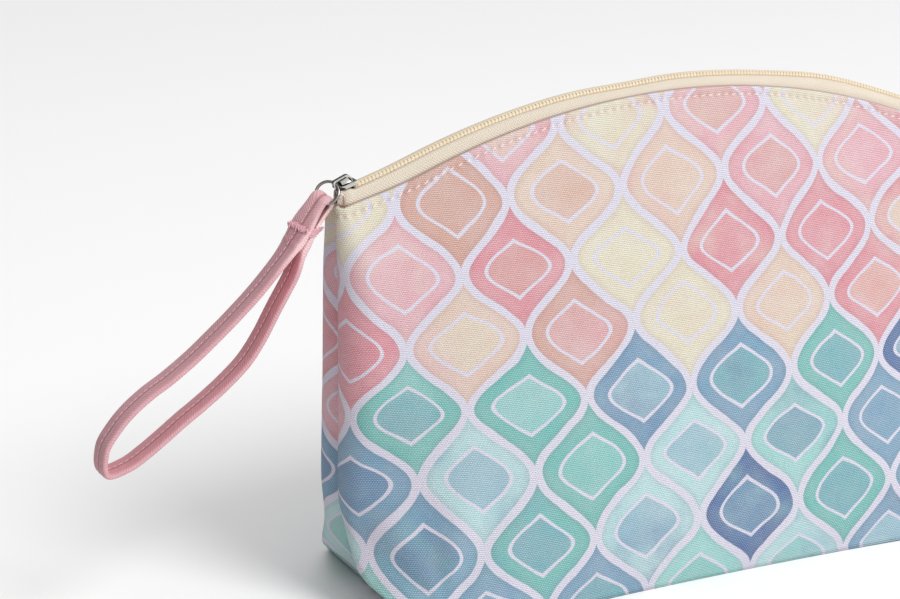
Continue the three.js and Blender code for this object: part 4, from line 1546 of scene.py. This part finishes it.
    def tack(self, look, cloth):
        """Brown thread sewn round the corner of the front tape's end: down the tape, then along its hem."""
        thread = thread_material("tack_thread", tuple(look.tack_colour))
        stitch = modelled_shape(round_stitch)
        down = [
            (
                TACK_DOWN_AT + TACK_DOWN_ZIGZAG * (k % 2),
                TACK_DOWN_FROM + TACK_DOWN_STEP * k,
                Vector((0.25 * (-1) ** k, -0.3, -1)),
            )
            for k in range(TACK_DOWN)
        ]
        along = [
            (
                TACK_ALONG_FROM + TACK_ALONG_STEP * k,
                TACK_ALONG_AT + TACK_ALONG_ZIGZAG * (k % 2),
                Vector((-1, 0.5, -0.3 * (-1) ** k)),
            )
            for k in range(TACK_ALONG)
        ]
        matrices = []
        for place, share, way in down + along:
            x = -place * MM
            forward = mix(look.coil_half + TAPE_BESIDE_COIL, self.hem(cloth), share) * tape_turn(x)
            tall = mix(crown_line(x) - TAPE_END_SHOULDER, edge_line(x) - HEM_COVER, share)
            at = Vector((x, -forward, tall)) + TACK_OUT * TACK_RAISED
            matrices.append(placed(at, way, TACK_OUT, TACK_HALF, TACK_THREAD))
        finish_piece(copies("zip_tack", stitch, matrices, [thread]), "zip_tape")


def tape_turn(x):
    """How far the tapes keep their distance from the middle: their ends turn in towards each other."""
    return 1 - TAPE_TURN * max((abs(x) - TAPE_TURNS_FROM) / TAPE_TURNS_OVER, 0) ** 2


def coil_turn():
    """One turn of the coil in millimetres: a rounded rod across the tape, its outer end bent down."""
    bpy.ops.mesh.primitive_cylinder_add(
        vertices=8, radius=TURN_RADIUS, depth=TURN_LENGTH, rotation=(math.pi / 2, 0, 0)
    )
    bpy.ops.object.transform_apply(location=True, rotation=True, scale=True)
    turn = bpy.context.active_object
    edit_whole(turn)
    bpy.ops.mesh.bevel(offset=TURN_BEVEL, segments=1, affect="EDGES")
    for cut in TURN_CUTS:
        bpy.ops.mesh.bisect(plane_co=(0, cut, 0), plane_no=(0, 1, 0))
        bpy.ops.mesh.select_all(action="SELECT")
    bpy.ops.object.mode_set(mode="OBJECT")
    for vertex in turn.data.vertices:
        outer = max(vertex.co.y - TURN_BENDS_FROM, 0)
        vertex.co.z -= TURN_BEND * outer * outer + TURN_RADIUS
        vertex.co.y += TURN_OUT


def join_pieces(main, *others):
    """Joins pieces into the first one."""
    bpy.ops.object.select_all(action="DESELECT")
    for piece in (main, *others):
        piece.select_set(True)
    bpy.context.view_layer.objects.active = main
    bpy.ops.object.join()
    main.select_set(False)


class BAG_OT_slider(bpy.types.Operator):
    """Model the steel slider: its plates, its bridge and the cap under it, with softened edges."""

    bl_idname = "bag.slider"
    bl_label = "Slider"

    def execute(self, context):
        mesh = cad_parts["zip_slider"].data.copy()
        mesh.name = "slider_body"
        slider = bpy.data.objects.new("slider_body", mesh)
        context.scene.collection.objects.link(slider)
        mesh.materials.clear()
        mesh.materials.append(steel_material(context, "slider_steel", 1.0))
        edit_whole(slider)
        bpy.ops.mesh.remove_doubles(threshold=SLIDER_WELD)
        bpy.ops.mesh.dissolve_limited(angle_limit=SLIDER_FLAT)
        at = Vector((SLIDER_AT, 0, crown_line(SLIDER_AT)))
        lean = math.atan(crown_slope(SLIDER_AT))
        bpy.ops.transform.rotate(value=-lean, orient_axis="Y", center_override=at)
        self.fit_plates(slider, at)
        self.add_cap(slider, at)
        bpy.ops.mesh.select_all(action="SELECT")
        bpy.ops.transform.rotate(value=lean, orient_axis="Y", center_override=at)
        bpy.ops.object.mode_set(mode="OBJECT")
        edge = slider.modifiers.new("edge", "BEVEL")
        edge.width = SLIDER_EDGE
        edge.segments = SLIDER_EDGE_STEPS
        edge.limit_method = "ANGLE"
        edge.angle_limit = SLIDER_EDGE_FROM
        bpy.ops.object.modifier_apply(modifier="edge")
        bpy.ops.object.shade_smooth_by_angle(angle=SLIDER_SMOOTH)
        finish_piece(slider, "steel", "zip_slider")
        return {"FINISHED"}

    def choose(self, slider, at, wanted):
        """Selects the vertices whose places in the slider's own frame, in millimetres, are wanted."""
        bpy.ops.mesh.select_all(action="DESELECT")
        bpy.ops.object.mode_set(mode="OBJECT")
        for vertex in slider.data.vertices:
            vertex.select = bool(wanted((vertex.co - at) / MM))
        bpy.ops.object.mode_set(mode="EDIT")

    def move(self, x, z):
        bpy.ops.transform.translate(value=(x * MM, 0, z * MM))

    def fit_plates(self, slider, at):
        """Shortens the slider, lowers its bridge, thins its wings and shrinks the hidden lower plate."""
        about = at + Vector((SLIDER_SHORTENS_ABOUT * MM, 0, 0))
        bpy.ops.transform.resize(value=(SLIDER_SHORTER, 1, 1), center_override=about)
        self.choose(slider, at, lambda p: p.z > BRIDGE_FOOT)
        about = at + Vector((0, 0, BRIDGE_FOOT * MM))
        bpy.ops.transform.resize(value=(1, 1, BRIDGE_LOWER), center_override=about)
        self.choose(slider, at, lambda p: p.z > 1.4 and p.x < -2)
        self.move(0, -NOSE_DROP)
        self.choose(slider, at, lambda p: -1.5 < p.z < -1 and abs(p.y) > 2)
        self.move(0, WING_THINNER)
        self.choose(slider, at, lambda p: -1.5 < p.z < 0.8 and abs(p.y) > 0.5 and -1.5 < p.x < 0.5)
        self.move(-SHOULDER_BACK, 0)
        bpy.ops.transform.resize(value=(1, SHOULDER_WIDER, 1), center_override=at)
        self.choose(slider, at, lambda p: p.z < LOWER_PLATE_TOP)
        about = at + Vector((LOWER_PLATE_ABOUT * MM, 0, 0))
        bpy.ops.transform.resize(value=(LOWER_PLATE_SHARE, LOWER_PLATE_SHARE, 1), center_override=about)

    def add_cap(self, slider, at):
        """Adds the sloped cap that closes the space under the bridge."""
        bpy.ops.mesh.select_all(action="DESELECT")
        cap = at + CAP_AT * MM
        bpy.ops.mesh.primitive_cube_add(size=MM, location=cap)
        bpy.ops.transform.resize(value=CAP_SIZE, center_override=cap)

        def on_top(p, half):
            return abs(abs(p.y) - half) < 0.01 and p.z > CAP_TOP

        wide = CAP_SIZE[1] / 2
        narrow = wide * CAP_TOP_SHARE
        self.choose(slider, at, lambda p: on_top(p, wide))
        bpy.ops.transform.resize(value=(1, CAP_TOP_SHARE, 1), center_override=cap)
        self.choose(slider, at, lambda p: on_top(p, narrow) and p.x > 1)
        self.move(-CAP_SLOPE, 0)
        self.choose(slider, at, lambda p: on_top(p, narrow) and p.x < -1)
        self.move(0, -CAP_DIP)


def strap_axes():
    """The strap's own directions: across its loop, up it and across its tape."""
    across = Vector((math.cos(STRAP_SWING), 0, -math.sin(STRAP_SWING)))
    upward = Vector((math.sin(STRAP_SWING), 0, math.cos(STRAP_SWING)))
    return across, upward, Vector((0, -1, 0))


class BAG_OT_ring(bpy.types.Operator):
    """Bend the wire ring that joins the strap to the slider."""

    bl_idname = "bag.ring"
    bl_label = "Ring"

    def execute(self, context):
        across, upward, face = strap_axes()
        normal = across * math.cos(RING_TWIST) - face * math.sin(RING_TWIST)
        bpy.ops.object.select_all(action="DESELECT")
        bpy.ops.mesh.primitive_torus_add(
            major_radius=RING_RADIUS, minor_radius=RING_WIRE, major_segments=72, minor_segments=16,
        )
        ring = context.active_object
        ring.name = ring.data.name = "wire_ring"
        edit_whole(ring)
        bpy.ops.transform.resize(value=(1, RING_SHORTER, 1), center_override=(0, -RING_RADIUS, 0))
        bpy.ops.object.mode_set(mode="OBJECT")
        ring.rotation_euler = Matrix((upward.cross(normal), upward, normal)).transposed().to_euler()
        ring.location = RING_MIDDLE
        bpy.ops.object.transform_apply(location=True, rotation=True, scale=True)
        bpy.ops.object.shade_smooth()
        # The slider's steel, darker as a painted reflection of dark surroundings
        ring.data.materials.append(steel_material(context, "ring_steel", RING_REFLECTS_DARKER))
        finish_piece(ring, "steel", "pull_ring")
        return {"FINISHED"}


def spline(points, share):
    """A point on the smooth curve through all points, share running from 0 to 1."""
    place = share * (len(points) - 1)
    i = min(int(place), len(points) - 2)
    t = place - i
    a, b, c, d = (points[min(max(k, 0), len(points) - 1)] for k in (i - 1, i, i + 1, i + 2))
    square = 2 * a - 5 * b + 4 * c - d
    cube = 3 * b - a - 3 * c + d
    return 0.5 * (2 * b + (c - a) * t + square * t ** 2 + cube * t ** 3)


def strap_line(thickness):
    """The strap's closed middle line in its own plane, from the ring down one leg and up the other."""
    start = EYE_HALF + thickness / 2
    shoulder = -EYE_TOP - EYE_HALF
    down = [np.array((row.outer, -row.along)) * MM for row in STRAP_ROWS]
    back = [np.array((row.inner, -row.along)) * MM for row in STRAP_ROWS][::-1]
    ends = [np.array((-start, shoulder)), np.array((start + 2 * EYE_EASE, shoulder))]
    points = [ends[0], *down, np.array(STRAP_TIP) * MM, *back, ends[1]]
    legs = np.array([spline(points, k / LEG_STEPS) for k in range(LEG_STEPS + 1)])
    bend = [math.pi * k / EYE_STEPS for k in range(1, EYE_STEPS)]
    wide = start + EYE_EASE
    fold = np.array([(EYE_EASE + wide * math.cos(a), shoulder + start * math.sin(a)) for a in bend])
    dense = np.concatenate([legs, fold, legs[:1]])
    lengths = line_lengths(dense)
    wanted = np.linspace(0, lengths[-1], STRAP_STATIONS, endpoint=False)
    line = np.stack([np.interp(wanted, lengths, dense[:, k]) for k in (0, 1)], axis=1)
    return line, wanted


class BAG_OT_strap(bpy.types.Operator):
    """Fold the cotton wrist strap, with its seam and the tack that closes it."""

    bl_idname = "bag.strap"
    bl_label = "Strap"

    # Rides a piece on the bag and hides the nodes that it stands for.
    def execute(self, context):
        look = settings(context, "strap")
        line, lengths = strap_line(look.thickness)
        ahead = np.roll(line, -1, axis=0) - np.roll(line, 1, axis=0)
        ahead /= np.linalg.norm(ahead, axis=1, keepdims=True)
        away = np.stack([ahead[:, 1], -ahead[:, 0]], axis=1)
        sections, places = [], []
        for point, out, length in zip(line, away, lengths):
            width = mix(look.eye_width, look.width, smoothstep(-point[1], *STRAP_WIDENS))
            section = self.section(width, look.thickness * self.bulk(-point[1]))
            sections.append([self.world(point + out * n, q) for q, n in section])
            places.append([(q, length) for q, _ in section])
        grid = np.array(sections)
        half = STRAP_POINTS // 2
        strap = loft(
            "wrist_strap_tape", grid[:, :half], grid[:, half:][:, ::-1], np.array(places),
            [strap_material(context)], closed=True, length=lengths[-1] + lengths[1],
        )
        self.shade(strap, line)
        finish_piece(strap, "strap_cotton", "wrist_strap")
        self.seam(look, line, away, thread_material("strap_thread", tuple(look.thread)))
        self.tack(look)
        return {"FINISHED"}

    def shade(self, strap, line):
        """Marks where painted light and shade fall: the loop's inner side, the inside of the eye and the leg
        that catches the light.
        """
        turns = [2 * math.pi * (k + 0.5) / STRAP_POINTS for k in range(STRAP_POINTS)]
        facing = np.array([smoothstep(-math.sin(turn), *INNER_FACING) for turn in turns])
        down = -line[:, 1]
        inner = [smoothstep(d, *INNER_STARTS) - INNER_FADE * smoothstep(d, *INNER_FADES) for d in down]
        near = np.array([1 - smoothstep(d, *EYE_SHADE_ENDS) for d in down])
        second_leg = np.array([smoothstep(x, *SECOND_LEG) for x in line[:, 0]])
        set_attribute(strap, "inner_shade", np.outer(inner, facing).ravel())
        set_attribute(strap, "eye_shadow", np.outer(near, facing).ravel())
        set_attribute(strap, "lit_leg", np.outer(near * second_leg, 1 - facing).ravel())

    def section(self, width, thickness):
        """The folded tape's outline, as (across, out) points: two soft lobes pinched at the seam."""
        outline = []
        for k in range(STRAP_POINTS):
            turn = 2 * math.pi * (k + 0.5) / STRAP_POINTS
            c, s = math.cos(turn), math.sin(turn)
            q = math.copysign(abs(c) ** STRAP_ROUND_ACROSS, c) * width / 2
            n = math.copysign(abs(s) ** STRAP_ROUND_OUT, s) * thickness / 2
            n *= 1 - SEAM_GROOVE_DEPTH * bell(q, SEAM_GROOVE, SEAM_GROOVE_SPREAD)
            outline.append((q, n))
        return outline

    def bulk(self, along):
        """How much thicker the legs are at the ring and where the tack gathers them."""
        gathered = smoothstep(along, *GATHERS) * (1 - smoothstep(along, *GATHERS_END))
        return 1 + GATHERED_BULK * gathered + RING_BULK * (1 - smoothstep(along, *RING_BULK_ENDS))

    def world(self, point, across):
        """A place in the strap's own frame, twisted about its length, in the bag's frame."""
        upper = 1 - smoothstep(-point[1], *TWISTS)
        twist = mix(LEG_TWIST, RING_TWIST, upper)
        x = point[0] * math.cos(twist) + across * math.sin(twist)
        z = -point[0] * math.sin(twist) + across * math.cos(twist)
        first, second, third = strap_axes()
        return RING_MIDDLE + first * x + second * point[1] + third * z

    def seam(self, look, line, away, thread):
        """The seam's stitches, down the middle of both faces."""
        stitch = modelled_shape(round_stitch)
        across = SEAM_GROOVE - SEAM_ASIDE
        keep = [i for i in range(len(line)) if -line[i][1] > SEAM_FROM]
        inner = np.array([self.world(line[i], across) for i in keep])
        matrices = []
        for face in (1, -1):
            points = []
            for i in keep:
                raised = look.thickness * self.bulk(-line[i][1]) * SEAM_SUNK
                points.append(self.world(line[i] + face * away[i] * raised, across))
            points = np.array(points)
            normals = points - inner
            normals /= np.linalg.norm(normals, axis=1, keepdims=True)
            measure = line_lengths(points)
            places = np.arange(look.stitch_pitch, measure[-1], look.stitch_pitch)
            length = look.stitch_pitch * SEAM_STITCH_SHARE
            matrices += stitch_row(points, normals, measure, places, length, SEAM_THREAD)
        finish_piece(copies("strap_seam", stitch, matrices, [thread]), "strap_cotton")

    def tack(self, look):
        """A dense, untidy bar of stitches through both legs below the ring, with frayed ends."""
        thread = thread_material("strap_tack_thread", tuple(look.thread), TACK_THREAD_SHADE)
        stitch = modelled_shape(round_stitch)
        rows = [row.along for row in STRAP_ROWS]
        outer = np.interp(look.tack_at / MM, rows, [row.outer for row in STRAP_ROWS]) * MM
        inner = np.interp(look.tack_at / MM, rows, [row.inner for row in STRAP_ROWS]) * MM
        lift = look.thickness * self.bulk(look.tack_at) / 2
        noise.seed_set(TACK_SEED)
        matrices = self.bar(-1, outer, lift, look.tack_at)
        matrices += self.bar(1, inner, lift, look.tack_at - BAR_HIGHER)
        matrices += self.wraps(look, outer, inner, lift)
        block = copies("strap_tack", stitch, matrices, [thread])
        verts, faces = [], []
        for k in range(FRAYS):
            tube_verts, tube_faces = thread_tube(self.fray(look, k, outer - lift), FRAY_THREAD)
            first = len(verts)
            verts += tube_verts
            faces += [tuple(first + i for i in face) for face in tube_faces]
        join_pieces(block, new_object("strap_tack_ends", verts, faces, [thread]))
        finish_piece(block, "strap_cotton")

    def bar(self, face, leg, lift, down):
        """Matrices of the untidy stitches across one leg."""
        matrices = []
        for k in range(BAR_STITCHES):
            seed = noise.noise_vector(Vector((k * 1.3, 7.7, face)))
            q = mix(-BAR_HALF_MM, BAR_HALF_MM, k / (BAR_STITCHES - 1)) * MM
            along = down + BAR_LOWER - BAR_SLANT * q + BAR_STRAY * seed.x
            reach = leg + face * (lift + BAR_LOOSE * abs(seed.y))
            aside = (BAR_ZIGZAG_MM * (-1) ** k + seed.z) * MM
            at = self.world(np.array((reach, -along)), q)
            ahead = self.world(np.array((reach, -along - MM)), q + aside) - at
            out = self.world(np.array((reach + face * MM, -along)), q) - at
            half = BAR_STITCH + BAR_STITCH_VARIES * seed.y
            matrices.append(placed(at, ahead, out, half, BAR_THREAD))
        return matrices

    def wraps(self, look, outer, inner, lift):
        """Matrices of the threads that wrap the legs' near edges together."""
        matrices = []
        for k in range(WRAPS):
            seed = noise.noise_vector(Vector((k * 2.1, 1.3, 0.6)))
            along = look.tack_at + mix(*WRAP_ROWS, k / (WRAPS - 1)) + WRAP_STRAY * seed.x
            far = inner + lift + WRAP_LOOSE * seed.y
            start = self.world(np.array((outer - WRAP_STARTS, -along)), WRAP_ACROSS)
            end = self.world(np.array((far, -along + WRAP_RISE)), WRAP_ACROSS)
            half = (end - start) / 2
            matrices.append(placed(start + half, half, strap_axes()[2], half.length, WRAP_THREAD))
        return matrices

    def fray(self, look, k, reach):
        """Points of one frayed end, which droops out of the side of the tack."""
        side = -1 if k % 3 else 1
        seed = noise.noise_vector(Vector((k * 1.7, 4.2, side)))
        q = side * (FRAY_FROM + FRAY_FROM_VARIES * abs(seed.x))
        root = np.array((reach, -look.tack_at - BAR_LOWER + BAR_SLANT * q + FRAY_STRAY * seed.y))
        length = FRAY_LENGTH + FRAY_LENGTH_VARIES * abs(seed.z)
        points = []
        for j in range(FRAY_STEPS + 1):
            t = j / FRAY_STEPS
            spot = root + np.array((-FRAY_OUT * (t + t * t * seed.x), FRAY_DROOP * t * seed.z))
            points.append(self.world(spot, q + side * length * t))
        return points


class BAG_OT_stage(bpy.types.Operator):
    """Set up the pale floor, the soft light and the photograph's camera."""

    bl_idname = "bag.stage"
    bl_label = "Stage"

    def execute(self, context):
        look = settings(context, "stage")
        bpy.ops.object.select_all(action="DESELECT")
        bpy.ops.mesh.primitive_plane_add(size=FLOOR_SIZE, location=FLOOR_MIDDLE)
        floor = context.active_object
        floor.name = "studio_floor"
        bpy.ops.object.transform_apply(location=True, rotation=True, scale=True)
        floor.data.materials.append(floor_material(context))
        self.sky(context, look.sky)
        lamp = bpy.data.lights.new("key", "AREA")
        lamp.shape = "DISK"
        lamp.size = KEY_SIZE
        lamp.energy = look.key
        self.aimed(context, "key", lamp, KEY_AT, KEY_AIM - KEY_AT)
        camera = bpy.data.cameras.new("camera")
        camera.lens = CAMERA_LENS
        camera.sensor_width = CAMERA_SENSOR
        camera.clip_start, camera.clip_end = CAMERA_CLIP
        context.scene.camera = self.aimed(context, "camera", camera, CAMERA_AT, Vector(CAMERA_LOOKS))
        context.scene.view_settings.view_transform = "Standard"
        return {"FINISHED"}

    def sky(self, context, strength):
        """White surroundings that darken on the side away from the light."""
        world = bpy.data.worlds.new("studio")
        world.use_nodes = True
        nodes = Nodes(world.node_tree)
        backdrop = world.node_tree.nodes["Background"]
        bright = nodes.add("ShaderNodeVectorMath", operation="DOT_PRODUCT")
        nodes.join(nodes.add("ShaderNodeTexCoord").outputs["Generated"], bright.inputs[0])
        bright.inputs[1].default_value = SKY_TOWARDS
        glow = nodes.step(bright.outputs["Value"], *SKY_RISES)
        nodes.join(nodes.mix(glow, (*SKY_DARK, 1), (*SKY_PALE, 1)), backdrop.inputs["Color"])
        backdrop.inputs["Strength"].default_value = strength
        context.scene.world = world

    def aimed(self, context, name, data, place, towards):
        """Stands a lamp or a camera at a place and points it."""
        holder = bpy.data.objects.new(name, data)
        holder.location = place
        holder.rotation_euler = towards.to_track_quat("-Z", "Y").to_euler()
        context.scene.collection.objects.link(holder)
        return holder


class BAG_PT_panel(bpy.types.Panel):
    """Lists the bag's pieces and their settings."""

    bl_label = "Toiletry Bag"
    bl_idname = "BAG_PT_panel"
    bl_space_type = "VIEW_3D"
    bl_region_type = "UI"
    bl_category = "Toiletry Bag"

    def draw(self, context):
        column = self.layout.column(align=True)
        for operator in OPERATORS:
            column.operator(operator.bl_idname)
        for name, group in SETTINGS:
            box = self.layout.box()
            box.label(text=name.title())
            for field in group.__annotations__:
                box.prop(settings(context, name), field)


SETTINGS = [
    ("cloth", BagClothSettings),
    ("print", BagPrintSettings),
    ("zip", BagZipSettings),
    ("strap", BagStrapSettings),
    ("stage", BagStageSettings),
]
OPERATORS = [BAG_OT_stage, BAG_OT_walls, BAG_OT_base, BAG_OT_zip, BAG_OT_slider, BAG_OT_ring, BAG_OT_strap]


def register():
    for name, group in SETTINGS:
        bpy.utils.register_class(group)
        setattr(bpy.types.Scene, "bag_" + name, PointerProperty(type=group))
    for operator in OPERATORS:
        bpy.utils.register_class(operator)
    bpy.utils.register_class(BAG_PT_panel)


def unregister():
    bpy.utils.unregister_class(BAG_PT_panel)
    for operator in reversed(OPERATORS):
        bpy.utils.unregister_class(operator)
    for name, group in reversed(SETTINGS):
        delattr(bpy.types.Scene, "bag_" + name)
        bpy.utils.unregister_class(group)


def write_size():
    """Brings the scene up to date."""
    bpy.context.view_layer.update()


def main():
    register()
    bpy.ops.bag.stage()
    bpy.ops.bag.walls()
    bpy.ops.bag.base()
    bpy.ops.bag.zip()
    bpy.ops.bag.slider()
    bpy.ops.bag.ring()
    bpy.ops.bag.strap()
    write_size()


if __name__ == "__main__":
    main()
